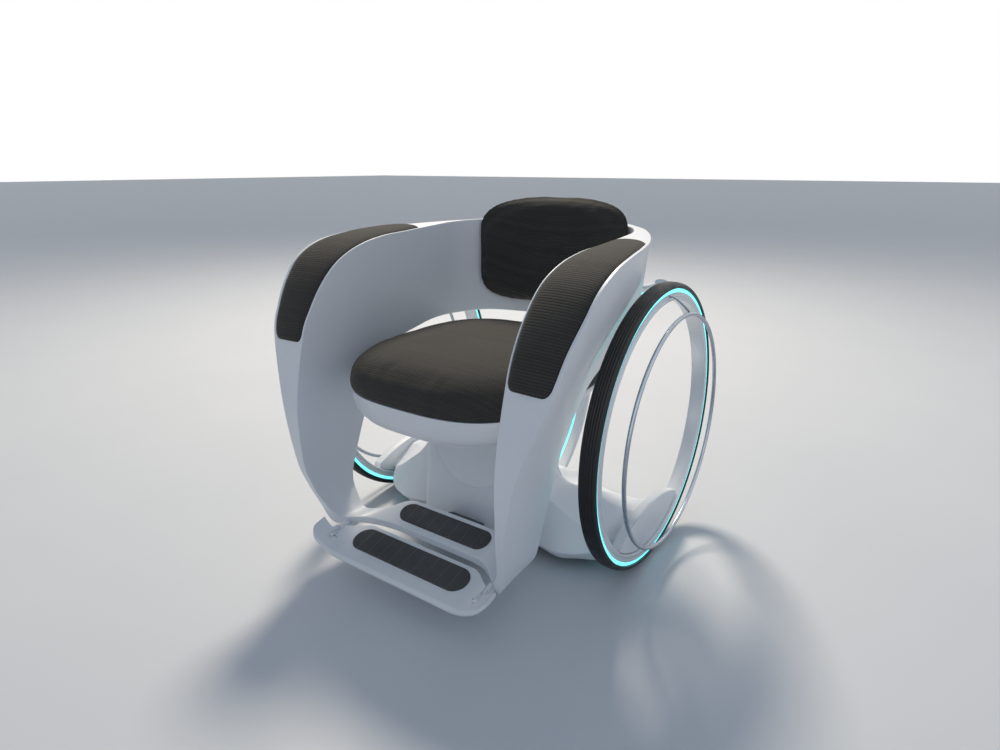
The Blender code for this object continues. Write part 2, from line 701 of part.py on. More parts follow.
def build_base():
    shell = piece("base_shell", base_walls(), white_plastic)
    cut(shell, "column_dish", dish())
    past_wall = COLUMN_TOP - 4 * BASE_WALL, COLUMN_TOP + BASE_WALL
    cut(shell, "guide_tube_hole", disc(LIFT_OUTER + GAP, *past_wall, (0, 0, 1), (0, LIFT_PLACE, 0), ROUND))
    build_base_plate(hollow_places())
    bottom = BASE_BOTTOM + BASE_PLATE_THICKNESS + GAP
    piece("battery_pack", block(BATTERY, (0, BATTERY_MIDDLE, bottom + BATTERY[2] / 2), 0.004), grey_plastic)
    piece("light_controller", block(CONTROLLER, (0, CONTROLLER_MIDDLE, bottom + CONTROLLER[2] / 2), 0.003),
          grey_plastic)


def dish():
    """A shallow round hollow in the column's front face, square to the sloping face."""
    back, up = COLUMN_FRONT_TOP - COLUMN_FRONT_FOOT, COLUMN_TOP - COLUMN_NOSE
    slope = math.atan2(back, up)
    centre = Vector((0, COLUMN_FRONT_FOOT + back * (DISH_HEIGHT - COLUMN_NOSE) / up, DISH_HEIGHT))
    sphere = (DISH_RADIUS**2 + DISH_DEPTH**2) / (2 * DISH_DEPTH)
    profile = [(-0.02, 0), (-0.02, DISH_RADIUS)]
    for share in (1, 0.7, 0.4, 0):
        radius = DISH_RADIUS * share
        profile.append((math.sqrt(sphere**2 - radius**2) - sphere + DISH_DEPTH, radius))
    bm = turned(profile, (0, 0, 1), (0, 0, 0), ROUND, closed=False)
    turn = Matrix.Rotation(slope, 4, "X").inverted() @ Matrix.Rotation(math.radians(-90), 4, "X")
    bmesh.ops.transform(bm, matrix=Matrix.Translation(centre) @ turn, verts=bm.verts)
    return bm


def build_base_plate(places):
    rings = []
    for x in places:
        points = hollow_section(x)
        front, rear = points[0][0] + GAP, points[-1][0] - GAP
        across = math.copysign(abs(x) - (GAP if abs(x) >= BASE_OPENING_HALF else 0), x)
        low, high = BASE_BOTTOM, BASE_BOTTOM + BASE_PLATE_THICKNESS
        rings.append([(across, front, low), (across, rear, low), (across, rear, high), (across, front, high)])
    plate = piece("base_plate", loft(rings), grey_plastic)
    for label, side in SIDES:
        middle = (side * CASTER_OUT, CASTER_PLACE, 0)
        hole = disc(CUP_RADIUS + GAP, 0, 2 * BASE_BOTTOM, (0, 0, 1), middle, ROUND)
        cut(plate, f"caster_hole_{label}", hole)


# Casters

CROWN_LOW = 2 * CASTER_RADIUS + CASTER_CROWN_ROOM
CROWN_TOP = CROWN_LOW + CASTER_CROWN
CUP_CEILING = CROWN_TOP + FREE


def build_caster(label, side):
    swivel = Vector((side * CASTER_OUT, CASTER_PLACE, 0))
    top = CUP_CEILING + CUP_TOP + BOSS_HEIGHT
    bore = CASTER_STEM + GAP
    crown, inside = CUP_CEILING + CUP_TOP, CUP_RADIUS - CUP_WALL
    profile = ((BASE_BOTTOM, CUP_RADIUS), (crown, CUP_RADIUS), (crown, BOSS_RADIUS), (top, BOSS_RADIUS),
               (top, bore), (CUP_CEILING, bore), (CUP_CEILING, inside), (BASE_BOTTOM, inside))
    piece(f"caster_cup_{label}", turned(profile, (0, 0, 1), swivel, ROUND), grey_plastic)
    build_caster_fork(label, swivel, top)
    hub = swivel + Vector((0, -CASTER_TRAIL, CASTER_RADIUS))
    half = CASTER_WIDTH / 2
    bore, shoulder, tread = CASTER_PIN + GAP, CASTER_RADIUS - CASTER_EDGE, half - CASTER_EDGE
    profile = ((-half, bore), (-half, shoulder), (-tread, CASTER_RADIUS), (tread, CASTER_RADIUS),
               (half, shoulder), (half, bore))
    piece(f"caster_wheel_{label}", turned(profile, (1, 0, 0), hub, SMALL_ROUND), rubber, hub)


def build_caster_fork(label, swivel, top):
    """A crown with two prongs, the stem that turns in the cup and the pin that the wheel turns on."""
    eye, crown_half = 0.0065, 0.0120
    trail, axle = -CASTER_TRAIL, CASTER_RADIUS
    ends = [(trail + eye * math.cos(a), axle + eye * math.sin(a))
            for a in np.linspace(math.pi, 2 * math.pi, 7)]
    outline = [(crown_half, CROWN_LOW), (crown_half, CROWN_TOP), (-crown_half, CROWN_TOP),
               (min(-crown_half, trail - eye), CROWN_LOW)] + ends
    half = CASTER_WIDTH / 2 + FREE + CASTER_PRONG
    fork = slab([(swivel.y + y, z) for y, z in outline], swivel.x - half, swivel.x + half)
    fork = piece(f"caster_fork_{label}", fork, satin_metal, (swivel.x, swivel.y, CROWN_TOP))
    inside = CASTER_WIDTH / 2 + FREE
    front, rear = swivel.y - 0.05, swivel.y + 0.05
    slot = [(front, 0.0), (rear, 0.0), (rear, CROWN_LOW), (front, CROWN_LOW)]
    cut(fork, f"wheel_slot_{label}", slab(slot, swivel.x - inside, swivel.x + inside))
    stem = disc(CASTER_STEM, CROWN_TOP - 0.002, top + 0.002, (0, 0, 1), swivel, 16)
    join(fork, f"caster_stem_{label}", stem)
    pin = disc(CASTER_PIN, -half + 0.001, half - 0.001, (1, 0, 0), swivel + Vector((0, trail, axle)), 12)
    join(fork, f"caster_pin_{label}", pin)


# Seat

LIFT_TOP = SEAT_SEAM - PAN_DEPTH - GAP
BUSH_INNER = LIFT_RADIUS + GAP
BUSH_OUTER = BUSH_INNER + GUIDE_BUSH_WALL
LIFT_OUTER = BUSH_OUTER + GAP + GUIDE_TUBE_WALL
FLANGE_BASE = COLUMN_TOP + GAP
FLANGE_TOP = FLANGE_BASE + GUIDE_FLANGE


def seat_outline(points=32):
    """Superellipse round the seat's middle, as (x, y) for a share of 1."""
    outline = []
    for i in range(points):
        turn = 2 * math.pi * i / points
        c, s = math.cos(turn), math.sin(turn)
        power = 2 / SEAT_SHAPE
        outline.append((SEAT_HALF_WIDTH * math.copysign(abs(c)**power, c),
                        SEAT_HALF_LENGTH * math.copysign(abs(s)**power, s)))
    return outline


def seat_ring(share, height, tilt=0.0):
    return [(x * share, SEAT_MIDDLE + y * share, height + tilt * y * share) for x, y in seat_outline()]


def seat_skin(levels):
    """A closed form from (share, height, tilt) levels, the first and the last of which lie on the middle."""
    ends = [(0, SEAT_MIDDLE, levels[i][1]) for i in (0, -1)]
    return domed(ends[0], [seat_ring(*level) for level in levels[1:-1]], ends[1])


def pan_floor():
    """The tray's flat floor and the turn up to its side, from the middle outwards."""
    floor = SEAT_SEAM - SEAT_SUNK
    foot = SEAT_SEAM - PAN_SIDE + PAN_WALL
    return [(0, floor), (PAN_EDGE - 0.10, floor, 0.8 * PAN_TILT), (PAN_EDGE - PAN_EDGE_WALL, foot, PAN_TILT)]


def pan_levels():
    """A shallow tray: its flat bottom rises to a crisp lower edge, higher at the rear than in front."""
    bottom = SEAT_SEAM - PAN_DEPTH
    outside = [(0, bottom), (PAN_FLAT, bottom + 0.0005), (PAN_EDGE, SEAT_SEAM - PAN_SIDE, PAN_TILT),
               (PAN_RIM - 0.020, SEAT_SEAM - 0.63 * PAN_SIDE, 0.7 * PAN_TILT), (PAN_RIM, SEAT_SEAM)]
    lip = PAN_RIM - PAN_WALL / SEAT_HALF_WIDTH
    return outside + [(lip, SEAT_SEAM), (lip - 0.010, SEAT_SEAM - 0.004)] + pan_floor()[::-1]


def cushion_levels():
    """The cushion fills the tray, lies on its rim and bulges over it into a low dome."""
    lip = PAN_RIM - (PAN_WALL + 0.0012) / SEAT_HALF_WIDTH
    inside = [(0, pan_floor()[0][1] + GAP)]
    for share, height, tilt in pan_floor()[1:]:
        inside.append((share - CUSHION_EASE, height + GAP, tilt))
    inside += [(lip - CUSHION_EASE, SEAT_SEAM - 0.002), (lip, SEAT_SEAM + 0.0005),
               (CUSHION_OVERHANG, SEAT_SEAM + 0.0010)]
    base = SEAT_SEAM + 0.006
    dome = []
    for turn in np.radians((90, 70, 52, 36, 20)):
        share, height = math.sin(turn)**(2 / DOME_SHAPE), math.cos(turn)**(2 / DOME_SHAPE)
        dome.append((share, base + (SEAT_DOME - 0.006) * height))
    return inside + dome + [(0, SEAT_SEAM + SEAT_DOME)]


def build_seat():
    lift = (0, LIFT_PLACE, SEAT_SEAM - PAN_DEPTH)
    piece("seat_pan", seat_skin(pan_levels()), white_plastic, lift)
    piece("seat_cushion", seat_skin(cushion_levels()), charcoal_fabric, lift)
    on_column = (0, LIFT_PLACE, 0)
    inner = LIFT_RADIUS - LIFT_WALL
    low = LIFT_TOP - LIFT_FLANGE - LIFT_REACH
    flange_low = FLANGE_TOP + GAP
    rod_end = SPRING_TOP - SPRING_ROD_REACH
    profile = ((LIFT_TOP, 0), (LIFT_TOP, LIFT_FLANGE_RADIUS), (flange_low, LIFT_FLANGE_RADIUS),
               (flange_low, LIFT_RADIUS), (low, LIFT_RADIUS), (low, inner), (flange_low, inner),
               (flange_low, SPRING_ROD), (rod_end, SPRING_ROD), (rod_end, 0))
    piece("lift_tube", turned(profile, (0, 0, 1), on_column, ROUND, closed=False), satin_metal, lift)
    build_guide(on_column)


def build_guide(on_column):
    bore = BUSH_OUTER + GAP
    foot = BASE_BOTTOM + BASE_PLATE_THICKNESS + GAP
    profile = ((FLANGE_TOP, BUSH_INNER), (FLANGE_TOP, LIFT_FLANGE_RADIUS), (FLANGE_BASE, LIFT_FLANGE_RADIUS),
               (FLANGE_BASE, LIFT_OUTER), (foot, LIFT_OUTER), (foot, bore), (FLANGE_BASE, bore),
               (FLANGE_BASE, BUSH_INNER))
    piece("guide_tube", turned(profile, (0, 0, 1), on_column, ROUND), satin_metal)
    bush_top = FLANGE_BASE - GAP
    bush = tube(BUSH_OUTER, BUSH_INNER, bush_top - GUIDE_BUSH_LENGTH, bush_top, (0, 0, 1), on_column, ROUND)
    piece("guide_bush", bush, grey_plastic)
    bore = SPRING_ROD + GAP
    floor = SPRING_TOP - SPRING_BORE
    profile = ((foot, 0), (foot, SPRING_RADIUS), (SPRING_TOP, SPRING_RADIUS), (SPRING_TOP, bore),
               (floor, bore), (floor, 0))
    piece("gas_spring", turned(profile, (0, 0, 1), on_column, SMALL_ROUND, closed=False), black_metal)


# Armchair shell

def shell_rows():
    """Inner crease, outer crease and lower edge of the left half, from the back's middle to the footplate's.

    The first points lie in the rim behind the sitter. The rim widens into the armrest, turns down as the
    front leg, and the leg's foot turns inwards and becomes the rear footplate.
    """
    middle = GAP / 2
    return (
        ((middle, 0.190, 0.705), (middle, 0.235, 0.705), (middle, 0.200, 0.465)),
        ((0.100, 0.180, 0.705), (0.115, 0.222, 0.705), (0.100, 0.185, 0.465)),
        ((0.190, 0.145, 0.702), (0.225, 0.175, 0.700), (0.195, 0.148, 0.466)),
        ((0.236, 0.070, 0.699), (0.283, 0.085, 0.700), (0.240, 0.075, 0.466)),
        ((0.245, -0.010, 0.694), (0.322, -0.020, 0.696), (0.250, -0.010, 0.466)),
        ((0.245, -0.100, 0.688), (0.345, -0.120, 0.692), (0.257, -0.085, 0.452)),
        ((0.245, -0.180, 0.683), (0.358, -0.200, 0.685), (0.260, -0.135, 0.439)),
        ((0.244, -0.250, 0.670), (0.364, -0.270, 0.672), (0.260, -0.176, 0.415)),
        ((0.244, -0.310, 0.645), (0.364, -0.325, 0.645), (0.257, -0.199, 0.386)),
        ((0.245, -0.355, 0.607), (0.360, -0.362, 0.605), (0.255, -0.220, 0.361)),
        ((0.246, -0.392, 0.557), (0.350, -0.395, 0.555), (0.254, -0.240, 0.335)),
        ((0.248, -0.420, 0.497), (0.338, -0.420, 0.495), (0.254, -0.254, 0.308)),
        ((0.247, -0.449, 0.362), (0.292, -0.450, 0.360), (0.2535, -0.280, 0.250)),
        ((0.246, -0.448, 0.240), (0.266, -0.450, 0.240), (0.2525, -0.308, 0.180)),
        ((0.240, -0.437, 0.185), (0.255, -0.437, 0.183), (0.250, -0.316, 0.148)),
        ((0.229, -0.418, 0.135), (0.243, -0.418, 0.130), (0.240, -0.318, 0.120)),
        ((0.205, -0.398, 0.100), (0.222, -0.400, 0.080), (0.210, -0.325, 0.0885)),
        ((0.172, -0.370, 0.093), (0.175, -0.371, 0.078), (0.172, -0.322, 0.0915)),
        ((0.145, -0.352, 0.086), (0.146, -0.352, 0.071), (0.148, -0.298, 0.0935)),
        ((0.118, -0.337, 0.081), (0.119, -0.337, 0.066), (0.125, -0.264, 0.0985)),
        ((0.090, -0.329, 0.080), (0.090, -0.329, 0.065), (0.090, -0.255, 0.0995)),
        ((middle, -0.328, 0.080), (middle, -0.328, 0.065), (middle, -0.254, 0.0995)),
    )


def along_rows(place):
    """Inner crease, outer crease and lower edge at a place counted in rows, on curves through the rows."""
    rows = shell_rows()
    i = min(int(place), len(rows) - 2)
    t = place - i
    flip = Vector((-1, 1, 1))
    found = []
    for column in range(3):
        points = [Vector(row[column]) for row in rows]
        before = points[i - 1] if i else points[1] * flip
        after = points[i + 2] if i + 2 < len(points) else points[-2] * flip
        a, b = points[i], points[i + 1]
        found.append(0.5 * (2 * a + (b - before) * t + (2 * before - 5 * a + 4 * b - after) * t * t
                            + (3 * a - before - 3 * b + after) * t**3))
    return found


def shell_corners(place, side, grow=0.0):
    """Inner and outer crease, and the two corners of the thin lower edge."""
    inner, outer, edge = along_rows(place)
    across = (outer - inner).normalized()
    half = across * (SHELL_EDGE / 2 + grow)
    down = (edge - (inner + outer) / 2).normalized() * grow
    aside = across * grow
    corners = (inner - aside - down, outer + aside - down, edge + half + down, edge - half + down)
    return [Vector((side * point.x, point.y, point.z)) for point in corners]


def shell_ring(place, side, grow=0.0):
    inner, outer, low_outer, low_inner = shell_corners(place, side, grow)
    drop = low_outer - outer
    across = (outer - inner).normalized()
    out = (across - drop.normalized() * across.dot(drop.normalized())).normalized()
    bulge = SHELL_BULGE * np.interp(drop.length, SHELL_BULGE_FROM, (0, 1))
    swell = [outer + drop * share + out * bulge * math.sin(math.pi * share) for share in (0.25, 0.5, 0.75)]
    rise = inner - low_inner
    flat = [low_inner + rise * share for share in (0.33, 0.66)]
    return [inner, outer, *swell, low_outer, low_inner, *flat]


def shell_places():
    """Where the shell's sections lie, closer together down to the foot than across the footplate."""
    last = len(shell_rows()) - 1
    return list(np.linspace(0, FOOT_ROW, FOOT_ROW * SHELL_STEPS + 1)) + list(range(FOOT_ROW + 1, last + 1))


def place_where(column, axis, value, low, high):
    """Place between two rows where a guide curve passes a value."""
    rising = along_rows(high)[column][axis] > along_rows(low)[column][axis]
    for _ in range(40):
        middle = (low + high) / 2
        if (along_rows(middle)[column][axis] < value) == rising:
            low = middle
        else:
            high = middle
    return (low + high) / 2


def room_ring(place, side):
    """The hollow inside the shell, as deep as the wall allows towards the thin lower edge."""
    inner, outer, low_outer, low_inner = shell_corners(place, side)
    width = (outer - inner).length
    across = (outer - inner).normalized()
    narrow = 2 * SHELL_WALL + ROOM_LEAST_WIDTH
    deep = (width - narrow) / (width - SHELL_EDGE)
    shallow = (PAD_SUNK + SHELL_WALL) / (low_inner - inner).length
    ring = []
    for share, inwards in ((shallow, 1), (shallow, -1), (deep, -1), (deep, 1)):
        line = (inner, low_inner) if inwards > 0 else (outer, low_outer)
        ring.append(line[0].lerp(line[1], share) + across * SHELL_WALL * inwards)
    return ring


def build_shell(label, side):
    rings = [shell_ring(place, side) for place in shell_places()]
    shell = piece(f"shell_{label}", loft(rings), white_plastic)
    rings = [room_ring(place, side) for place in np.linspace(0, ROOM_END, 15)]
    opening = [point + Vector((-side * 0.005, 0, 0)) for point in rings[0]]
    cut(shell, f"shell_room_{label}", loft([opening] + rings))
    cut(shell, f"pad_recess_{label}", loft([recess_ring(place, side) for place in recess_places()]))
    cut(shell, f"rear_grip_recess_{label}", grip_form(REAR_GRIP, GAP, rear_grip_frame(), -GAP, 0.02))
    piece(f"armrest_pad_{label}", pad_form(side), charcoal_fabric)


# Armrest pads

def pad_ends():
    start = place_where(0, 1, PAD_BACK_PLACE, 4, 6)
    end = place_where(0, 2, PAD_FRONT_HEIGHT, 9, 12)
    return start, end


def pad_length():
    start, end = pad_ends()
    points = [along_rows(place)[0] for place in np.linspace(start, end, 9)]
    return sum((after - before).length for before, after in zip(points, points[1:]))


def pad_frame(place, side):
    """Middle of the armrest's face, the way across it, the way up from it, and its half width."""
    inner, outer, _, _ = shell_corners(place, side)
    before, after = shell_corners(place - 0.05, side), shell_corners(place + 0.05, side)
    across = (outer - inner).normalized()
    along = (after[0] + after[1] - before[0] - before[1]).normalized()
    up = across.cross(along).normalized() * -side
    start, end = inner + across * PAD_INNER_MARGIN, outer - across * PAD_OUTER_MARGIN
    return (start + end) / 2, across, up, (end - start).length / 2


def pad_places(count=9):
    """Places along the pad, closer together where its corners are rounded."""
    start, end = pad_ends()
    corner = PAD_CORNER / pad_length()
    shares = [0, 0.12 * corner, 0.4 * corner] + list(np.linspace(corner, 1 - corner, count))
    shares += [1 - 0.4 * corner, 1 - 0.12 * corner, 1]
    return [start + (end - start) * share for share in shares]


def recess_places():
    """The pad's places, with a gap past its ends."""
    places = pad_places()
    stretch = (places[-1] - places[0]) * GAP / pad_length()
    return [places[0] - stretch] + places[1:-1] + [places[-1] + stretch]


def pad_narrowing(place):
    """How much narrower the pad is at a place because of its round corners."""
    start, end = pad_ends()
    to_end = min(place - start, end - place) / (end - start) * pad_length()
    short = max(PAD_CORNER - max(to_end, 0), 0)
    return PAD_CORNER - math.sqrt(max(PAD_CORNER**2 - short**2, 0))


def recess_ring(place, side):
    middle, across, up, half = pad_frame(place, side)
    half = half + GAP - pad_narrowing(place)
    return [middle - across * half - up * PAD_SUNK, middle + across * half - up * PAD_SUNK,
            middle + across * half + up * 0.02, middle - across * half + up * 0.02]


def pad_form(side):
    rings = []
    places = pad_places()
    for place in places:
        middle, across, up, half = pad_frame(place, side)
        half -= pad_narrowing(place)
        fullness = 1 - (pad_narrowing(place) / PAD_CORNER) ** 2
        base, top = -PAD_SUNK + GAP, 0.0005 + PAD_CROWN * fullness
        profile = ((-1, base), (1, base), (0.985, 0.0), (1.0, 0.4 * top), (0.80, 0.85 * top), (0.35, top),
                   (-0.35, top), (-0.80, 0.85 * top), (-1.0, 0.4 * top), (-0.985, 0.0))
        rings.append([middle + across * half * a + up * b for a, b in profile])
    return loft(rings)


# Back cushion

def shell_inside(x, height):
    """How far back the shell's inner face is at a side distance and a height."""
    place = place_where(0, 0, min(abs(x), 0.235), 0, 3)
    inner, _, edge = along_rows(place)
    share = (inner.z - height) / (inner.z - edge.z)
    return inner.y + (edge.y - SHELL_EDGE / 2 - inner.y) * min(max(share, 0), 1)


def back_outline(points=32):
    """Rounded rectangle with a gently falling top edge, as (x, z)."""
    half_height = (BACK_TOP - BACK_BOTTOM) / 2
    middle = (BACK_TOP + BACK_BOTTOM) / 2
    outline = []
    for i in range(points):
        turn = 2 * math.pi * (i + 0.5) / points
        c, s = math.cos(turn), math.sin(turn)
        power = 2 / BACK_SHAPE
        x = BACK_HALF_WIDTH * math.copysign(abs(c)**power, c)
        z = half_height * math.copysign(abs(s)**power, s)
        drop = BACK_DROP * (x / BACK_HALF_WIDTH)**2 * max(z / half_height, 0)
        outline.append((x, z - drop, middle))
    return outline


def back_ring(share, front, depth):
    """A ring of the cushion: share of the outline, and depth forwards from the shell's inner face."""
    ring = []
    for x, z, middle in back_outline():
        height = middle + z * share
        rest = shell_inside(x * share, min(height, BACK_REST_TOP)) - GAP - BACK_STANDOFF
        ring.append((x * share, rest - depth * (1 - 0.25 * (x / BACK_HALF_WIDTH)**2 * front), height))
    return ring


def build_back_cushion():
    levels = ((0.50, 0, 0.000), (0.90, 0, 0.0005), (0.965, 0, 0.004), (0.975, 1, 0.010), (1.0, 1, 0.016),
              (0.985, 1, 0.026), (0.93, 1, 0.033), (0.80, 1, 0.0365), (0.45, 1, BACK_THICKNESS))
    rings = [back_ring(share, front, depth) for share, front, depth in levels]
    middle = (BACK_TOP + BACK_BOTTOM) / 2
    rest = shell_inside(0, middle) - GAP - BACK_STANDOFF
    form = domed((0, rest, middle), rings, (0, rest - BACK_THICKNESS, middle))
    piece("back_cushion", form, charcoal_fabric)


# Footplates

def grip_form(size, grow, frame, low, high, edge=0.0):
    """A bar with round ends lying in a frame, from low to high above the frame's face."""
    length, width = size[0] + grow, size[1] + grow
    outline = []
    for sign in (1, -1):
        for turn in np.linspace(-90, 90, 9):
            angle = math.radians(turn)
            reach = length - width + width * math.cos(angle)
            outline.append((sign * reach, sign * width * math.sin(angle)))
    levels = [(low, 0.0), (high - edge, 0.0), (high, edge)] if edge else [(low, 0.0), (high, 0.0)]
    rings = []
    for height, shrink in levels:
        scale = 1 - shrink / width
        rings.append([frame @ Vector((x - math.copysign(shrink, x), y * scale, height)) for x, y in outline])
    return loft(rings)


def rear_grip_frame():
    """The floor of the grip's recess in the rear plate."""
    top = shell_corners(len(shell_rows()) - 1, 1)
    front, rear = top[0], top[3]
    slope = math.atan2(rear.z - front.z, rear.y - front.y)
    share = (REAR_GRIP_PLACE - front.y) / (rear.y - front.y)
    face = front.z + (rear.z - front.z) * share
    turn = Matrix.Rotation(slope, 4, "X")
    return Matrix.Translation((0, REAR_GRIP_PLACE, face)) @ turn @ Matrix.Translation((0, 0, -GRIP_SUNK))


def plate_top(x, y):
    rise = max(abs(x) - PLATE_RISE_START, 0) / (PLATE_HALF_WIDTH - PLATE_RISE_START)
    return PLATE_HEIGHT + PLATE_SLOPE * (y - PLATE_LEVEL_PLACE) + PLATE_RISE * rise * rise


def front_grip_frame():
    turn = Matrix.Rotation(math.atan(PLATE_SLOPE), 4, "X")
    face = plate_top(0, FRONT_GRIP_PLACE)
    return Matrix.Translation((0, FRONT_GRIP_PLACE, face)) @ turn @ Matrix.Translation((0, 0, -GRIP_SUNK))


def plate_ring(x):
    rear = between(PLATE_REAR, abs(x))
    short = max(abs(x) - (PLATE_HALF_WIDTH - PLATE_CORNER), 0)
    drawn_in = PLATE_CORNER - math.sqrt(max(PLATE_CORNER**2 - short**2, 0))
    front = min(PLATE_FRONT + 0.85 * drawn_in, rear - PLATE_LEAST_DEPTH)
    edge = 0.3 * PLATE_THICKNESS
    points = ((rear, -edge), (rear, -PLATE_THICKNESS), (front + 2.2 * edge, -PLATE_THICKNESS),
              (front, -0.5 * PLATE_THICKNESS - edge), (front, -edge), (front + edge, 0), (rear - edge, 0))
    return [(x, y, plate_top(x, y) + z) for y, z in points]


def build_front_plate():
    hinge = (0, *HINGE_PLACE)
    places = [x for x, y in PLATE_REAR if x < HINGE_OUT] + list(np.linspace(HINGE_OUT, PLATE_HALF_WIDTH, 7))
    plate = piece("front_footplate", loft([plate_ring(x) for x in both_ways(places)]), white_plastic, hinge)
    cut(plate, "front_grip_recess", grip_form(FRONT_GRIP, GAP, front_grip_frame(), -GAP, 0.03))
    grip = grip_form(FRONT_GRIP, 0, front_grip_frame(), 0, GRIP_THICKNESS, 0.0008)
    piece("front_grip", grip, black_grip, hinge)
    grip = grip_form(REAR_GRIP, 0, rear_grip_frame(), 0, GRIP_THICKNESS, 0.0008)
    piece("rear_grip", grip, black_grip)
    for label, side in SIDES:
        build_hinge(label, side, plate)


def lug_outline(grow=0.0, opened=0.0):
    """The hinge lug from the side: a bar up to the rear plate, and a round eye at the hinge's axis.
    The slot for it is grown by its play and opened upwards behind the axis."""
    y, z = HINGE_PLACE
    eye = HINGE_EYE + grow
    top = grow + opened
    bar = [(-0.338, 0.0730 - grow), (-0.338, 0.0900 + top), (-0.386, 0.0840 + top),
           (y + 0.022, z + 0.0045 + top)]
    if opened:
        bar.append((y, z + HINGE_EYE + top))
    round_end = [(y + eye * math.cos(a), z + eye * math.sin(a))
                 for a in np.linspace(math.pi / 2, 1.5 * math.pi, 7)]
    return [*bar, *round_end, (y + 0.026, z - 0.0078 - grow)]


def build_hinge(label, side, plate):
    half = HINGE_LUG / 2
    middle = side * HINGE_OUT
    lug = piece(f"hinge_lug_{label}", slab(lug_outline(), middle - half, middle + half), white_plastic)
    y, z = HINGE_PLACE
    bore = disc(HINGE_PIN + GAP, -HINGE_LUG, HINGE_LUG, (1, 0, 0), (middle, y, z), 12)
    cut(lug, f"lug_bore_{label}", bore)
    under_plate = [shell_ring(at, side, GAP) for at in shell_places() if FOOT_ROW - 1 <= at <= FOOT_ROW + 2]
    cut(lug, f"lug_plate_face_{label}", loft(under_plate))
    free = half + FREE
    cut(plate, f"lug_slot_{label}", slab(lug_outline(3 * FREE, SLOT_OPENED), middle - free, middle + free))
    reach = HINGE_PIN_LENGTH / 2
    hole = disc(HINGE_PIN + GAP, -reach - GAP, reach + GAP, (1, 0, 0), (middle, y, z), 12)
    cut(plate, f"hinge_hole_{label}", hole)
    pin = disc(HINGE_PIN, -reach, reach, (1, 0, 0), (middle, y, z), 12)
    piece(f"hinge_pin_{label}", pin, satin_metal, (middle, y, z))


# What joins the shell to the rest

def build_shell_bracket():
    """The bracket from the column's foot to the underside of the rear plate."""
    ring = shell_ring(len(shell_rows()) - 1, 1)
    front, rear = ring[1], ring[5]
    slope = (rear.z - front.z) / (rear.y - front.y)

    def under(y):
        return front.z + slope * (y - front.y) - 2 * GAP

    face = COLUMN_FRONT_FOOT - GAP
    start, end = rear.y - 0.004, front.y + 0.008
    outline = ((face, 0.050), (face + 0.001, 0.074), (start, under(start)), (end, under(end)),
               (end, under(end) - 0.5 * BRACKET_THICKNESS), (start, under(start) - 1.6 * BRACKET_THICKNESS))
    piece("shell_bracket", slab(outline, -BRACKET_HALF_WIDTH, BRACKET_HALF_WIDTH), grey_plastic)


def build_shell_mount(label, side):
    """The stub between the fork's arm and the shell's back, cut to both of their faces."""
    angle = math.asin((MOUNT_HEIGHT - AXLE_HEIGHT) / fork_radius(50))
    degrees = math.degrees(angle)
    start = Vector(on_fork(side * arm_middle(degrees), -0.15 * SPINE_THICKNESS, degrees))
    place = place_where(1, 0, abs(start.x) - 0.012, 0, 3)
    _, outer, low_outer, _ = shell_corners(place, side)
    end = outer.lerp(low_outer, (outer.z - MOUNT_HEIGHT) / (outer.z - low_outer.z))
    mount = piece(f"shell_mount_{label}", rod(start, end, MOUNT_RADIUS, 16), grey_plastic)
    nearby = np.linspace(degrees - 12, degrees + 12, 7)
    cut(mount, f"mount_arm_face_{label}", loft([arm_ring(a, side, GAP) for a in nearby]))
    cut(mount, f"mount_strip_slot_{label}", loft([arm_light_ring(a, side, GAP) for a in nearby]))
    rings = [shell_ring(at, side, GAP) for at in np.arange(max(place - 1.0, 0.05), place + 1.0, 0.25)]
    cut(mount, f"mount_shell_face_{label}", loft(rings))


clear_scene()
chair = bpy.data.objects.new("chair", None)
chair.location = (0, CHAIR_SHIFT, 0)
bpy.context.scene.collection.objects.link(chair)

white_plastic = finish_material("white_plastic", (0.78, 0.80, 0.82), 0.28)
white_enamel = finish_material("white_enamel", (0.80, 0.82, 0.84), 0.25)
grey_plastic = finish_material("grey_plastic", (0.10, 0.11, 0.12), 0.50)
charcoal_fabric = finish_material("charcoal_fabric", (0.030, 0.033, 0.037), 0.85)
rubber = finish_material("rubber", (0.012, 0.012, 0.013), 0.70)
black_grip = finish_material("black_grip", (0.010, 0.011, 0.013), 0.60)
cyan_light = finish_material("cyan_light", (0.20, 1.00, 1.00), 0.30, glow=2.0)
satin_metal = finish_material("satin_metal", (0.62, 0.63, 0.65), 0.32, metallic=1.0)
black_metal = finish_material("black_metal", (0.020, 0.020, 0.022), 0.35, metallic=0.8)

ROOM_END = place_where(0, 2, ROOM_LOW, 10, 13)

build_base()
build_spine()
build_seat()
build_back_cushion()
build_front_plate()
build_shell_bracket()
for label, side in SIDES:
    build_wheel(label, side)
    build_pod(label, side)
    build_arm(label, side)
    build_caster(label, side)
    build_shell(label, side)
    build_shell_mount(label, side)
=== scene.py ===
"""Looks of the wheelchair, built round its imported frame.

Lengths are metres and +Z is up. The sitter faces -Y and +X is the sitter's left. The shapes are worked
out with the wheels' axis at Y = 0, and placed() moves every point back by CHAIR_SHIFT. Left and right are
mirror images.
"""

import math

import bpy
import numpy as np
from mathutils import Matrix, Vector


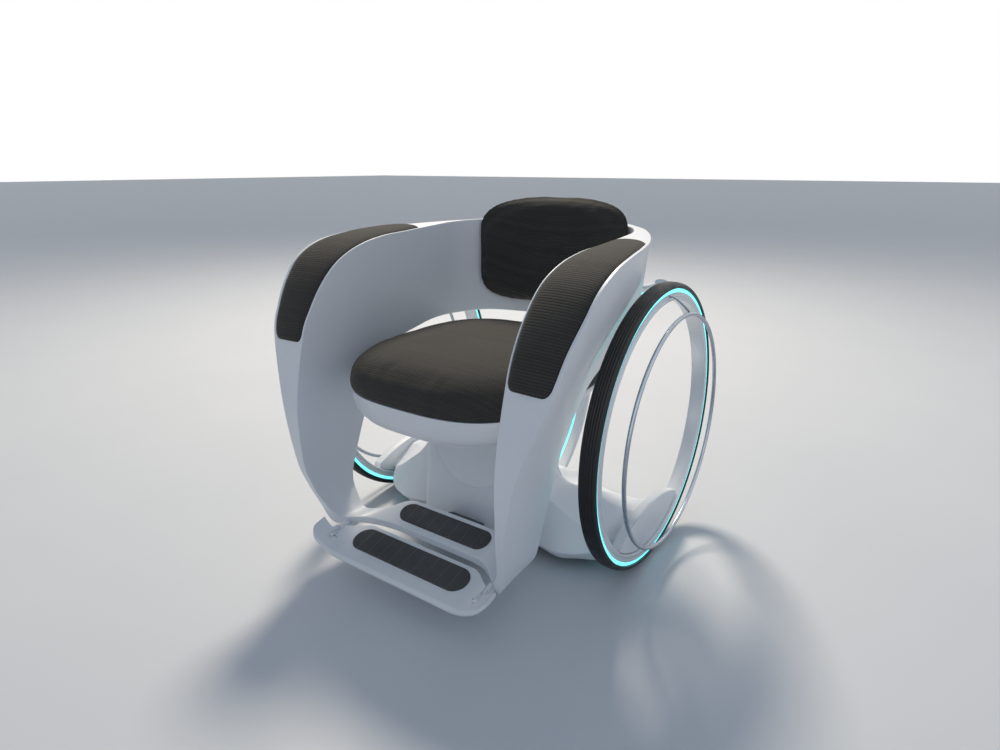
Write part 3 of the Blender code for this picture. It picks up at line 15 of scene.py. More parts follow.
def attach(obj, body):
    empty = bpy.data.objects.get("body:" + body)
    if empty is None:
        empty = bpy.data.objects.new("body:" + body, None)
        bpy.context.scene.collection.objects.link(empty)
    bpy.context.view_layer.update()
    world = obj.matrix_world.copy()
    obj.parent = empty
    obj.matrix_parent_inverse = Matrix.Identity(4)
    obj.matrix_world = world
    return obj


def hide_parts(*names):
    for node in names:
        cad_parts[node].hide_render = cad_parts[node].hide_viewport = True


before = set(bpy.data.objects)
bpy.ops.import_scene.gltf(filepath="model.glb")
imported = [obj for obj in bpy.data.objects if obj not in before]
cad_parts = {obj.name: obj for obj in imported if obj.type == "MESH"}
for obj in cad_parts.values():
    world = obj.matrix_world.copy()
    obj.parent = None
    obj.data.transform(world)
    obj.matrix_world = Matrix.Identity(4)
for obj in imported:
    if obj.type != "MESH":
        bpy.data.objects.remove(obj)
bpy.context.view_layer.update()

SIDES = (("left", 1), ("right", -1))
CHAIR_SHIFT = 0.0665
AXLE_HEIGHT = 0.305
WHEEL_PLANE = 0.339
RIM_OUTER = 0.2935
FORK_RADIUS = 0.324
ARM_TIP_RADIUS = 0.302
SPINE_START, FORK_START, ARM_END, ARM_LIGHT_END = -54, -13, 76, 66
SPINE_WIDTH, SPINE_THICKNESS = 0.057, 0.014
ARM_TIP_WIDTH, ARM_TIP_THICKNESS = 0.027, 0.012
ARM_OFFSETS = ((-13, 0.0144), (0, 0.030), (20, 0.085), (35, 0.138), (50, 0.201), (60, 0.262), (68, 0.291),
               (76, 0.304))
BASE_BOTTOM, COLUMN_TOP, COLUMN_NOSE = 0.026, 0.283, 0.045
COLUMN_FRONT_TOP, COLUMN_FRONT_FOOT = -0.185, -0.2075
DISH_RADIUS, DISH_DEPTH, DISH_HEIGHT = 0.113, 0.016, 0.262
SEAT_HALF_WIDTH, SEAT_HALF_LENGTH, SEAT_MIDDLE, SEAT_SHAPE = 0.238, 0.263, -0.151, 3.0
SEAT_SEAM, SEAT_DOME, DOME_SHAPE, LIFT_PLACE = 0.395, 0.088, 3.2, -0.125
PAN_DEPTH, PAN_SIDE, PAN_TILT, PAN_EDGE, PAN_RIM, SEAT_SUNK = 0.098, 0.035, 0.10, 0.90, 0.975, 0.040
SHELL_EDGE, SHELL_BULGE = 0.009, 0.006
PAD_INNER_MARGIN, PAD_OUTER_MARGIN, PAD_SUNK, PAD_CROWN, PAD_CORNER = 0.004, 0.0075, 0.005, 0.006, 0.011
BACK_HALF_WIDTH, BACK_BOTTOM, BACK_TOP, BACK_DROP = 0.207, 0.494, 0.764, 0.022
PLATE_HEIGHT, PLATE_LEVEL_PLACE, PLATE_SLOPE = 0.080, -0.372, 0.2333
PLATE_RISE, PLATE_RISE_START = 0.033, 0.150
PLATE_HALF_WIDTH, PLATE_FRONT, PLATE_CORNER, PLATE_THICKNESS = 0.229, -0.464, 0.020, 0.011
PLATE_REAR = ((0.0, -0.360), (0.138, -0.360), (0.152, -0.3655), (0.165, -0.3745), (0.178, -0.385),
              (0.190, -0.395), (0.200, -0.4055), (0.206, -0.4195), (0.229, -0.4195))
HINGE_OUT, HINGE_PLACE, HINGE_EYE, HINGE_LUG = 0.194, (-0.4305, 0.0708), 0.0070, 0.0080


# Curves and skins

def curve(places, values, at, limited=True):
    """Smooth curve through values at places.

    Its cubic pieces take the neighbours' mean slope, or their harmonic mean when limited, so that the curve
    never swings past its points.
    """
    x = np.asarray(places, float)
    y = np.asarray(values, float).reshape(len(x), -1)
    secant = np.diff(y, axis=0) / np.diff(x)[:, None]
    if limited:
        product = secant[:-1] * secant[1:]
        total = np.where(product > 0, secant[:-1] + secant[1:], 1)
        slope = np.concatenate([secant[:1], np.where(product > 0, 2 * product / total, 0), secant[-1:]])
    else:
        slope = np.gradient(y, x, axis=0)
    at = np.clip(np.asarray(at, float), x[0], x[-1])
    i = np.clip(np.searchsorted(x, at) - 1, 0, len(x) - 2)
    span = (x[i + 1] - x[i])[:, None]
    t = (at - x[i])[:, None] / span
    found = ((2 * t**3 - 3 * t**2 + 1) * y[i] + (3 * t**2 - 2 * t**3) * y[i + 1]
             + span * ((t**3 - 2 * t**2 + t) * slope[i] + (t**3 - t**2) * slope[i + 1]))
    return found.reshape(at.shape + np.shape(values)[1:])


def rounded(corners, radius, steps=5):
    """Closed outlines (..., corner, axis) with each corner turned into a quadratic arc.

    The arc starts and ends a radius away from the corner, or short of the middle of a shorter edge.
    """
    corners = np.asarray(corners, float)
    before, after = np.roll(corners, 1, -2) - corners, np.roll(corners, -1, -2) - corners
    radius = np.broadcast_to(radius, corners.shape[:-1])[..., None]

    def towards(edge):
        length = np.linalg.norm(edge, axis=-1, keepdims=True)
        return edge * np.minimum(radius, 0.46 * length) / np.maximum(length, 1e-9)

    t = np.linspace(0, 1, steps)[:, None]
    ends = (corners + towards(before), corners, corners + towards(after))
    start, middle, end = (points[..., None, :] for points in ends)
    arcs = start * (1 - t)**2 + middle * 2 * t * (1 - t) + end * t**2
    return arcs.reshape(*corners.shape[:-2], -1, corners.shape[-1])


def inset(outline, depth):
    """A closed dense outline (point, 2) moved inwards along its normals."""
    ahead = np.roll(outline, -1, 0) - np.roll(outline, 1, 0)
    normal = np.stack([-ahead[:, 1], ahead[:, 0]], 1) / np.linalg.norm(ahead, axis=1)[:, None]
    x, y = outline.T
    area = np.sum(x * np.roll(y, -1) - np.roll(x, -1) * y)
    return outline + normal * depth * np.sign(area)


def placed(points):
    """Points moved back from the wheels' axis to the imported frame."""
    return points + np.array((0, CHAIR_SHIFT, 0))


def outward(mesh):
    """Turns a closed mesh's faces so that they point out."""
    mesh.calc_loop_triangles()
    corners = np.empty(len(mesh.loop_triangles) * 3, np.int32)
    mesh.loop_triangles.foreach_get("vertices", corners)
    a, b, c = coordinates(mesh)[corners.reshape(-1, 3)].transpose(1, 0, 2)
    if np.einsum("ij,ij->", a, np.cross(b, c)) < 0:
        mesh.flip_normals()


def coordinates(mesh):
    points = np.empty(len(mesh.vertices) * 3, np.float32)
    mesh.vertices.foreach_get("co", points)
    return points.reshape(-1, 3)


def skin(name, grids, material, ring=False, sharp=38):
    """One object from grids of points (row, point, 3).

    Each row is a closed ring joined to the next by a band of four-sided faces. The first and the last row are
    closed flat, or joined to each other if ring is set.
    """
    vertices, faces, first = [], [], 0
    for grid in (grids if isinstance(grids, list) else [grids]):
        rows, around = grid.shape[:2]
        index = first + np.arange(rows * around).reshape(rows, around)
        here = index if ring else index[:-1]
        there = np.roll(index, -1, 0) if ring else index[1:]
        quads = np.stack([here, np.roll(here, -1, 1), np.roll(there, -1, 1), there], -1).reshape(-1, 4)
        faces += quads.tolist()
        if not ring:
            faces += [index[0][::-1].tolist(), index[-1].tolist()]
        vertices.append(placed(grid.reshape(-1, 3)))
        first += rows * around
    mesh = bpy.data.meshes.new(name)
    mesh.from_pydata(np.concatenate(vertices).tolist(), [], faces)
    mesh.update()
    outward(mesh)
    mesh.shade_smooth()
    mesh.set_sharp_from_angle(angle=math.radians(sharp))
    mesh.materials.append(material)
    obj = bpy.data.objects.new(name, mesh)
    bpy.context.scene.collection.objects.link(obj)
    return obj


def dress(obj, body, slot, *nodes):
    """The piece rides on a body and stands for CAD nodes, which it hides. The slot is not used."""
    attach(obj, body)
    if nodes:
        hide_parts(*nodes)
    return obj


def applied(obj):
    """Puts the shape that the modifiers give into the mesh itself."""
    evaluated = obj.evaluated_get(bpy.context.evaluated_depsgraph_get())
    mesh = bpy.data.meshes.new_from_object(evaluated)
    obj.modifiers.clear()
    obj.data = mesh
    return obj


def carve(obj, *tools, sharp=30):
    """Cuts closed forms out of a piece and then removes them."""
    for tool in tools:
        boolean = obj.modifiers.new("carve", "BOOLEAN")
        boolean.operation, boolean.solver, boolean.object = "DIFFERENCE", "EXACT", tool
    applied(obj)
    for tool in tools:
        bpy.data.objects.remove(tool, do_unlink=True)
    obj.data.shade_smooth()
    obj.data.set_sharp_from_angle(angle=math.radians(sharp))
    return obj


def turned(profile, middle, steps=256):
    """A profile of (along X, radius) turned about the X axis through middle, one row to each step."""
    turn = np.linspace(0, 2 * np.pi, steps, endpoint=False)[:, None]
    along, radius = np.asarray(profile, float).T
    return np.stack([middle[0] + along + 0 * turn, middle[1] + radius * np.cos(turn),
                     middle[2] + radius * np.sin(turn)], -1)


def upright(profile, middle, steps=128):
    """A profile of (height, radius) turned about the Z axis, one row to each point of the profile."""
    turn = np.linspace(0, 2 * np.pi, steps, endpoint=False)
    height, radius = np.asarray(profile, float).T[..., None]
    x, y = middle[0] + radius * np.cos(turn), middle[1] + radius * np.sin(turn)
    return np.stack([x, y, height + 0 * turn], -1)


def swept(path, radius, corners=16):
    """A round bar along a path of points, its section square to the path's direction."""
    path = np.asarray(path, float)
    along = np.gradient(path, axis=0)
    along /= np.linalg.norm(along, axis=1)[:, None]
    side = np.cross(along, (0.0, 0.6, 0.8))
    side /= np.linalg.norm(side, axis=1)[:, None]
    up = np.cross(along, side)
    turn = np.linspace(0, 2 * np.pi, corners, endpoint=False)[None, :, None]
    radius = np.broadcast_to(radius, len(path))[:, None, None]
    return path[:, None] + radius * (np.cos(turn) * side[:, None] + np.sin(turn) * up[:, None])


# Finishes

ROW_PITCH, FLOAT_LENGTH = 0.0050, 0.0100
GRIP_RIB, GRIP_BLOCK = 0.0030, 0.0300


def linear(code):
    """Linear colour from a display hex code."""
    c = np.array([int(code[i:i + 2], 16) for i in (0, 2, 4)]) / 255
    return (*np.where(c <= 0.04045, c / 12.92, ((c + 0.055) / 1.055)**2.4).tolist(), 1.0)


def feed(tree, node, inputs):
    """Links sockets to a node's inputs and sets plain values on them."""
    for key, value in inputs.items():
        if isinstance(value, bpy.types.NodeSocket):
            tree.links.new(value, node.inputs[key])
        else:
            node.inputs[key].default_value = value


def add(tree, kind, inputs, out=0, **settings):
    """Adds a shader node with its settings and inputs, and gives one of its outputs."""
    node = tree.nodes.new("ShaderNode" + kind)
    for name, value in settings.items():
        setattr(node, name, value)
    feed(tree, node, inputs)
    return node.outputs[out]


def blank(name):
    material = bpy.data.materials.new(name)
    material.use_nodes = True
    tree = material.node_tree
    return material, tree, tree.nodes["Principled BSDF"], add(tree, "TexCoord", {}, "Object")


def moulded_gloss_abs():
    """White ABS moulding: a slow drift in tone and a hard gloss, dulled a little where it is handled.

    Its orange peel, about 2.4 mm from crest to crest, is too shallow to show, so it is drawn as it is.
    """
    material, tree, shader, place = blank("moulded_gloss_abs")
    drift = add(tree, "TexNoise", {"Vector": place, "Scale": 3.0, "Detail": 1.0})
    smudge = add(tree, "TexNoise", {"Vector": place, "Scale": 8.0, "Detail": 1.0})
    peel = add(tree, "TexNoise", {"Vector": place, "Scale": 420.0, "Detail": 2.0})
    tone = add(tree, "Mix", {0: drift, 6: linear("DFE3E8"), 7: linear("EAEDF0")}, 2, data_type="RGBA")
    feed(tree, shader, {
        "Base Color": tone,
        "Roughness": add(tree, "MapRange", {"Value": smudge, "From Min": 0.3, "From Max": 0.7,
                                            "To Min": 0.38, "To Max": 0.44}),
        "Normal": add(tree, "Bump", {"Strength": 0.15, "Distance": 0.00001, "Height": peel}),
        "Coat Weight": 0.15, "Coat Roughness": 0.25})
    return material


def turned_satin_enamel():
    """White enamel on a turned aluminium rim: satin, with fine rings that run round the wheel."""
    material, tree, shader, place = blank("turned_satin_enamel")
    _, y, z = add(tree, "SeparateXYZ", {0: place}).node.outputs
    back = add(tree, "Math", {0: y, 1: CHAIR_SHIFT}, operation="SUBTRACT")
    up = add(tree, "Math", {0: z, 1: AXLE_HEIGHT}, operation="SUBTRACT")
    spoke = add(tree, "CombineXYZ", {1: back, 2: up})
    radius = add(tree, "VectorMath", {0: spoke}, "Value", operation="LENGTH")
    rings = add(tree, "TexNoise", {"W": radius, "Scale": 2400.0, "Detail": 1.0}, noise_dimensions="1D")
    drift = add(tree, "TexNoise", {"Vector": place, "Scale": 11.0, "Detail": 3.0})
    tone = add(tree, "Mix", {0: drift, 6: linear("D3D9E0"), 7: linear("E8EBEF")}, 2, data_type="RGBA")
    feed(tree, shader, {
        "Base Color": tone,
        "Roughness": add(tree, "MapRange", {"Value": rings, "To Min": 0.20, "To Max": 0.36}),
        "Normal": add(tree, "Bump", {"Strength": 0.4, "Distance": 0.00002, "Height": rings}),
        "Metallic": 0.3, "Coat Weight": 0.3, "Coat Roughness": 0.15})
    return material


def brushed_steel():
    """Brushed stainless steel: short streaks, and a cloudy film from hands."""
    material, tree, shader, place = blank("brushed_steel")
    stretched = add(tree, "Mapping", {"Vector": place, "Scale": (260.0, 60.0, 60.0)})
    streaks = add(tree, "TexNoise", {"Vector": stretched, "Scale": 1.0, "Detail": 3.0})
    film = add(tree, "TexNoise", {"Vector": place, "Scale": 20.0, "Detail": 4.0})
    tone = add(tree, "Mix", {0: film, 6: linear("8E98A6"), 7: linear("B4BCC6")}, 2, data_type="RGBA")
    feed(tree, shader, {
        "Base Color": tone,
        "Roughness": add(tree, "MapRange", {"Value": streaks, "To Min": 0.18, "To Max": 0.38}),
        "Normal": add(tree, "Bump", {"Strength": 0.3, "Distance": 0.00002, "Height": streaks}),
        "Metallic": 1.0})
    return material


def tyre_rubber():
    """Vulcanised tyre rubber: near-black with a low shine, dust in blots and a fine pebbled skin."""
    material, tree, shader, place = blank("vulcanised_tyre_rubber")
    dust = add(tree, "TexNoise", {"Vector": place, "Scale": 36.0, "Detail": 6.0})
    pebbles = add(tree, "TexNoise", {"Vector": place, "Scale": 1100.0, "Detail": 2.0})
    tone = add(tree, "Mix", {0: dust, 6: linear("0B0D10"), 7: linear("191B1E")}, 2, data_type="RGBA")
    feed(tree, shader, {
        "Base Color": tone,
        "Roughness": add(tree, "MapRange", {"Value": dust, "From Min": 0.3, "From Max": 0.7,
                                            "To Min": 0.38, "To Max": 0.60}),
        "Normal": add(tree, "Bump", {"Strength": 0.5, "Distance": 0.00005, "Height": pebbles}),
        "Specular IOR Level": 0.4})
    return material


def ribbed_grip_rubber():
    """Moulded rubber tread: ribs across the strip and a bar at each block, painted paler on top as painted
    light (the ribs' tops varied by wear) and darker in the grooves as painted shade; shiny where shoes rub.
    """
    material, tree, shader, place = blank("ribbed_grip_rubber")
    x, _, _ = add(tree, "SeparateXYZ", {0: place}).node.outputs
    turn = add(tree, "Math", {0: x, 1: math.pi / GRIP_RIB}, operation="MULTIPLY")
    rib = add(tree, "Math", {0: add(tree, "Math", {0: turn}, operation="SINE")}, operation="ABSOLUTE")
    bar_turn = add(tree, "Math", {0: x, 1: math.pi / GRIP_BLOCK}, operation="MULTIPLY")
    bar_swing = add(tree, "Math", {0: bar_turn}, operation="COSINE")
    bar_wave = add(tree, "Math", {0: bar_swing}, operation="ABSOLUTE")
    bar = add(tree, "MapRange", {"Value": bar_wave, "From Min": 0.985, "From Max": 1.0})
    rub = add(tree, "TexNoise", {"Vector": place, "Scale": 45.0, "Detail": 5.0})
    wear = add(tree, "MapRange", {"Value": rub, "To Min": 0.3, "To Max": 1.0})
    # Painted light on the rib crests and painted shade in the grooves, with wear noise varying the crests.
    rib_light_and_wear = add(tree, "Math", {0: rib, 1: wear}, operation="MULTIPLY")
    raised = add(tree, "Math", {0: rib_light_and_wear, 1: bar}, operation="MAXIMUM")
    height = add(tree, "Math", {0: rib, 1: bar}, operation="MAXIMUM")
    # Painted light and shade: crests and block bars take the pale tone, grooves the dark one.
    tone = add(tree, "Mix", {0: raised, 6: linear("0C0E12"), 7: linear("3A4149")}, 2, data_type="RGBA")
    feed(tree, shader, {
        "Base Color": tone,
        "Roughness": add(tree, "MapRange", {"Value": raised, "To Min": 0.62, "To Max": 0.40}),
        "Normal": add(tree, "Bump", {"Strength": 1.0, "Distance": 0.0008, "Height": height})})
    return material


def charcoal_rib_cloth():
    """Woven charcoal upholstery: rows of long floats, with painted shade between the rows and where the
    floats dip, painted light on their crests, and a warm bloom of fibres.

    The floats step half a float from row to row, and single yarns are paler. The rows are drawn as wide as
    the photograph shows them. The cloth attribute holds the lengths along and across the rows.
    """
    material, tree, shader, place = blank("charcoal_rib_cloth")
    lengths = add(tree, "Attribute", {}, "Vector", attribute_name="cloth")
    run, across, _ = add(tree, "SeparateXYZ", {0: lengths}).node.outputs
    rows = add(tree, "Math", {0: across, 1: ROW_PITCH}, operation="DIVIDE")
    row = add(tree, "Math", {0: rows}, operation="FLOOR")
    row_turn = add(tree, "Math", {0: rows, 1: math.pi}, operation="MULTIPLY")
    wave = add(tree, "Math", {0: row_turn}, operation="SINE")
    swell = add(tree, "Math", {0: wave}, operation="ABSOLUTE")
    rib = add(tree, "Math", {0: swell, 1: 0.45}, operation="POWER")
    floats = add(tree, "Math", {0: run, 1: FLOAT_LENGTH}, operation="DIVIDE")
    half_step = add(tree, "Math", {0: row, 1: 0.5}, operation="MULTIPLY")
    steps = add(tree, "Math", {0: floats, 1: half_step}, operation="ADD")
    step_turn = add(tree, "Math", {0: steps, 1: math.pi}, operation="MULTIPLY")
    step = add(tree, "Math", {0: step_turn}, operation="SINE")
    bow = add(tree, "Math", {0: step}, operation="ABSOLUTE")
    bow_height = add(tree, "MapRange", {"Value": bow, "To Min": 0.85, "To Max": 1.0})
    yarn = add(tree, "Math", {0: rib, 1: bow_height}, operation="MULTIPLY")
    fuzz = add(tree, "TexNoise", {"Vector": place, "Scale": 800.0, "Detail": 3.0})
    height = add(tree, "Math", {0: fuzz, 1: 0.25, 2: yarn}, operation="MULTIPLY_ADD")
    dye = add(tree, "TexWhiteNoise", {"W": row}, noise_dimensions="1D")
    dyed = add(tree, "MapRange", {"Value": dye, "To Min": 0.70, "To Max": 0.95})
    cloud = add(tree, "TexNoise", {"Vector": place, "Scale": 14.0, "Detail": 4.0})
    clouded = add(tree, "MapRange", {"Value": cloud, "To Min": 0.70, "To Max": 1.15})
    pale = add(tree, "Math", {0: dyed, 1: clouded}, operation="MULTIPLY")
    # Painted light and shade: yarn crests take the lit tone, the gaps between rows and floats take the shaded
    # tone; row dye and clouding vary it.
    share = add(tree, "Math", {0: yarn, 1: pale}, operation="MULTIPLY")
    tone = add(tree, "Mix", {0: share, 6: linear("14171B"), 7: linear("444340")}, 2, data_type="RGBA")
    feed(tree, shader, {
        "Base Color": tone,
        "Roughness": add(tree, "MapRange", {"Value": fuzz, "To Min": 0.76, "To Max": 0.96}),
        "Normal": add(tree, "Bump", {"Strength": 1.0, "Distance": 0.0007, "Height": height}),
        "Sheen Weight": 0.3, "Sheen Roughness": 0.45, "Sheen Tint": linear("A79F8E"),
        "Specular IOR Level": 0.25})
    return material


def lit_cyan_acrylic():
    """Edge-lit cyan acrylic: it glows evenly, paler where it is thick."""
    material, tree, shader, place = blank("lit_cyan_acrylic")
    thick = add(tree, "TexNoise", {"Vector": place, "Scale": 50.0, "Detail": 2.0})
    tone = add(tree, "Mix", {0: thick, 6: linear("62F4FA"), 7: linear("90FFFF")}, 2, data_type="RGBA")
    feed(tree, shader, {
        "Base Color": tone, "Emission Color": tone, "Emission Strength": 1.1, "Roughness": 0.3})
    return material


def grained_grey_plastic():
    """Dark grey moulded nylon with a fine spark-eroded grain."""
    material, tree, shader, place = blank("grained_grey_nylon")
    grain = add(tree, "TexNoise", {"Vector": place, "Scale": 900.0, "Detail": 4.0})
    drift = add(tree, "TexNoise", {"Vector": place, "Scale": 20.0, "Detail": 3.0})
    tone = add(tree, "Mix", {0: drift, 6: linear("4A4F55"), 7: linear("5E646B")}, 2, data_type="RGBA")
    feed(tree, shader, {
        "Base Color": tone,
        "Roughness": add(tree, "MapRange", {"Value": grain, "To Min": 0.42, "To Max": 0.62}),
        "Normal": add(tree, "Bump", {"Strength": 0.6, "Distance": 0.00006, "Height": grain})})
    return material


def powder_coated_steel():
    """Black powder-coated steel: a tight sprayed texture with a soft shine."""
    material, tree, shader, place = blank("black_powder_coat")
    spray = add(tree, "TexNoise", {"Vector": place, "Scale": 620.0, "Detail": 3.0})
    tone = add(tree, "Mix", {0: spray, 6: linear("15171A"), 7: linear("282B2F")}, 2, data_type="RGBA")
    feed(tree, shader, {
        "Base Color": tone,
        "Roughness": add(tree, "MapRange", {"Value": spray, "To Min": 0.34, "To Max": 0.52}),
        "Normal": add(tree, "Bump", {"Strength": 0.5, "Distance": 0.00004, "Height": spray}),
        "Metallic": 0.4})
    return material


white, enamel, steel, tyre = moulded_gloss_abs(), turned_satin_enamel(), brushed_steel(), tyre_rubber()
tread, cloth, glow = ribbed_grip_rubber(), charcoal_rib_cloth(), lit_cyan_acrylic()
grey, black = grained_grey_plastic(), powder_coated_steel()

KEPT_FINISHES = {"caster_fork": steel, "lift_tube": steel, "guide_tube": steel, "side_roller_pin": steel,
                 "hinge_pin": steel, "caster_wheel": tyre, "gas_spring": black, "hinge_lug": white}


def finish_kept_nodes():
    """Nodes that show as CAD built them get the finish their name starts with, or else the grey nylon's."""
    for name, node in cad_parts.items():
        found = [material for start, material in KEPT_FINISHES.items() if name.startswith(start)]
        node.data.materials.clear()
        node.data.materials.append(found[0] if found else grey)


# Wheels

TYRE_HALF, TYRE_HEIGHT, GROOVE_PITCH, GROOVE_DEPTH = 0.0177, 0.0112, 0.0055, 0.0012
PUSH_RIM_OUT, PUSH_RIM_RADIUS, PUSH_RIM_THICK = 0.047, 0.245, 0.0042
STAY_RADIUS, STAY_FLARE, STAY_FOOT_OUT, STAY_FOOT_RADIUS, STAY_BEND = 0.0026, 0.0026, 0.0150, 0.281, 0.012


def both_faces(half):
    """A closed profile (along, radius) from the half on one side of the wheel's plane."""
    return np.array(list(half) + [(-a, r) for a, r in reversed(half)])


def tyre_profile():
    """Half a flattened circle over the rim, with seven fine grooves sunk into its tread."""
    turn = np.linspace(0, np.pi, 121)
    c, s = np.cos(turn), np.sin(turn)
    across = TYRE_HALF * np.sign(c) * np.abs(c)**(2 / 2.9)
    out = s**(2 / 2.5)
    groove = np.exp(-((np.mod(across / GROOVE_PITCH + 0.5, 1) - 0.5) / 0.16)**2)
    groove *= np.clip((out - 0.55) / 0.2, 0, 1)
    radius = RIM_OUTER + 0.0003 + TYRE_HEIGHT * out - GROOVE_DEPTH * groove
    return np.stack([across, radius], 1)


RIM_HALF = ((0.0095, 0.2932), (0.0095, 0.2857), (0.0152, 0.2857), (0.0152, 0.2815), (0.0141, 0.2808),
            (0.0141, 0.2792), (0.0152, 0.2785), (0.0152, 0.2752), (0.0166, 0.2742), (0.0166, 0.2712),
            (0.0155, 0.2700))
LIGHT_SECTION = ((0.0098, 0.2860), (0.0139, 0.2860), (0.0144, 0.2878), (0.0145, 0.2895), (0.0144, 0.2912),
                 (0.0139, 0.2930), (0.0098, 0.2930))


def build_wheel(label, side):
    """Profiles turned about the axle: tyre, rim, light rings and push rim, and the stays that carry it."""
    hub = (side * WHEEL_PLANE, 0, AXLE_HEIGHT)
    body = f"wheel_{label}_body"
    rubber = skin(f"tread_{label}", turned(tyre_profile(), hub, 288), tyre, ring=True)
    dress(rubber, body, "tyre_rubber", f"tyre_{label}")
    rim = skin(f"rim_band_{label}", turned(rounded(both_faces(RIM_HALF), 0.0005, 3), hub), enamel, ring=True)
    dress(rim, body, "white_rim", f"rim_{label}")
    for name, way in (("outer", side), ("inner", -side)):
        section = rounded(np.array(LIGHT_SECTION) * (way, 1), 0.0007, 3)
        ring = skin(f"{name}_glow_ring_{label}", turned(section, hub), glow, ring=True)
        dress(ring, body, "cyan_light", f"{name}_light_ring_{label}")
    turn = np.linspace(0, 2 * np.pi, 20, endpoint=False)
    section = np.stack([side * PUSH_RIM_OUT + PUSH_RIM_THICK * np.cos(turn),
                        PUSH_RIM_RADIUS + PUSH_RIM_THICK * np.sin(turn)], 1)
    hand_rim = skin(f"hand_rim_{label}", turned(section, hub), steel, ring=True)
    dress(hand_rim, body, "satin_metal", f"push_rim_{label}")
    stays = [stay(side, *angles) for angles in ((90, 82), (-93, -108))]
    dress(skin(f"hand_rim_stays_{label}", stays, steel), body, "satin_metal")


def on_wheel(side, out, radius, angle):
    """Point at a distance out of the wheel's plane, a radius and an angle about its axis."""
    back, up = radius * math.cos(angle), radius * math.sin(angle)
    return np.array((side * (WHEEL_PLANE + out), back, AXLE_HEIGHT + up))


def stay(side, at_rim, at_tube):
    """A bar that leaves the rim's face square to it and bends over to the push rim; it flares at its foot."""
    t = np.linspace(0, 1, 25)[:, None]
    foot = on_wheel(side, STAY_FOOT_OUT, STAY_FOOT_RADIUS, math.radians(at_rim))
    tip = on_wheel(side, PUSH_RIM_OUT, PUSH_RIM_RADIUS, math.radians(at_tube))
    bend = foot + (side * STAY_BEND, 0, 0)
    path = foot * (1 - t)**2 + bend * 2 * t * (1 - t) + tip * t**2
    return swept(path, STAY_RADIUS + STAY_FLARE * np.exp(-t[:, 0] / 0.05))


# Pods

POD_HALF, POD_LOW_RADIUS, POD_TOP, POD_ARCH, POD_CORNER = 0.155, 0.2688, 0.128, 0.352, 0.0045
TRAY_LEVELS = ((0.3312, 0.0026), (0.3459, 0.0026), (0.3462, 0.0022), (0.3462, 0.0004), (0.3459, 0.0),
               (0.3303, 0.0), (0.3293, 0.0003), (0.3287, 0.0010), (0.3285, 0.0020))
LID_LEVELS = ((0.3466, 0.0003), (0.3468, 0.0), (0.3484, 0.0), (0.3490, 0.0003), (0.3494, 0.0009),
              (0.3495, 0.0018))


def pod_outline():
    """The rim's curve below and a flatter arch above, with rounded corners, as (y, z)."""
    reach, arch = math.asin(POD_HALF / POD_LOW_RADIUS), math.asin(POD_HALF / POD_ARCH)
    low = np.linspace(-reach, reach, 60)
    high = np.linspace(arch, -arch, 60)
    low = np.stack([POD_LOW_RADIUS * np.sin(low), AXLE_HEIGHT - POD_LOW_RADIUS * np.cos(low)], 1)
    high = np.stack([POD_ARCH * np.sin(high), POD_TOP - POD_ARCH + POD_ARCH * np.cos(high)], 1)
    return rounded(np.concatenate([low, high[1:-1]]), POD_CORNER, 3)


def across_stack(outline, levels, side):
    """Rings of an outline in the wheel's plane: (x, how far drawn in) for each."""
    rings = []
    for x, depth in levels:
        y, z = inset(outline, depth).T
        rings.append(np.stack([np.full_like(y, side * x), y, z], 1))
    return np.stack(rings)


def build_pod(label, side):
    """A tray and a lid, each a stack of the pod's outline with its edges drawn in."""
    outline = pod_outline()
    tray = skin(f"pod_tray_{label}", across_stack(outline, TRAY_LEVELS, side), white)
    dress(tray, "chair_body", "white_plastic", f"pod_housing_{label}")
    lid = skin(f"pod_lid_{label}", across_stack(outline, LID_LEVELS, side), white)
    dress(lid, "chair_body", "white_plastic", f"pod_cover_{label}")


# Rear fork

FORK_DRAWN_IN, TIP_ROUND, LEAN_RUN = 20, 1.2, 12
FORK_CHAMFER, LIGHT_GROOVE_HALF, LIGHT_GROOVE_DEPTH = 0.0035, 0.0022, 0.0026
STRIP_HALF, STRIP_BACK, STRIP_PROUD, STRIP_CORNER = 0.0018, 0.0022, 0.0007, 0.0009


def on_fork(offset, height, degrees):
    """Point of the fork: offset across and height outwards from its middle surface."""
    share = np.clip((degrees - FORK_DRAWN_IN) / (ARM_END - FORK_DRAWN_IN), 0, 1)
    middle = FORK_RADIUS + (ARM_TIP_RADIUS - FORK_RADIUS) * share * share * (3 - 2 * share)
    angle = np.radians(degrees)
    return np.stack([offset + 0 * angle, (middle + height) * np.cos(angle),
                     AXLE_HEIGHT + (middle + height) * np.sin(angle)], -1)


def fork_rings(sections, degrees, middle, lean):
    """Sections (row, point, 2) of (across, out) set along the fork, each turned by lean about its middle."""
    across, out = sections[..., 0], sections[..., 1]
    return on_fork(middle[:, None] + across, out, degrees[:, None] + lean[:, None] * across)


def ribbon(half, thick):
    """The fork's section: chamfered corners, and a groove for the light in its inner face."""
    t, c = thick / 2, FORK_CHAMFER
    g, d = LIGHT_GROOVE_HALF + 0 * t, LIGHT_GROOVE_DEPTH
    corners = [(-half, -t + c), (-half, t - c), (-half + c, t), (half - c, t), (half, t - c), (half, -t + c),
               (half - c, -t), (g, -t), (g, -t + d), (-g, -t + d), (-g, -t), (-half + c, -t)]
    outline = np.stack([np.stack(np.broadcast_arrays(a, b), -1) for a, b in corners], 1)
    return rounded(outline, np.array([2, 2, 2, 2, 2, 2, 2, .4, .2, .2, .4, 2]) * 0.001, 4)


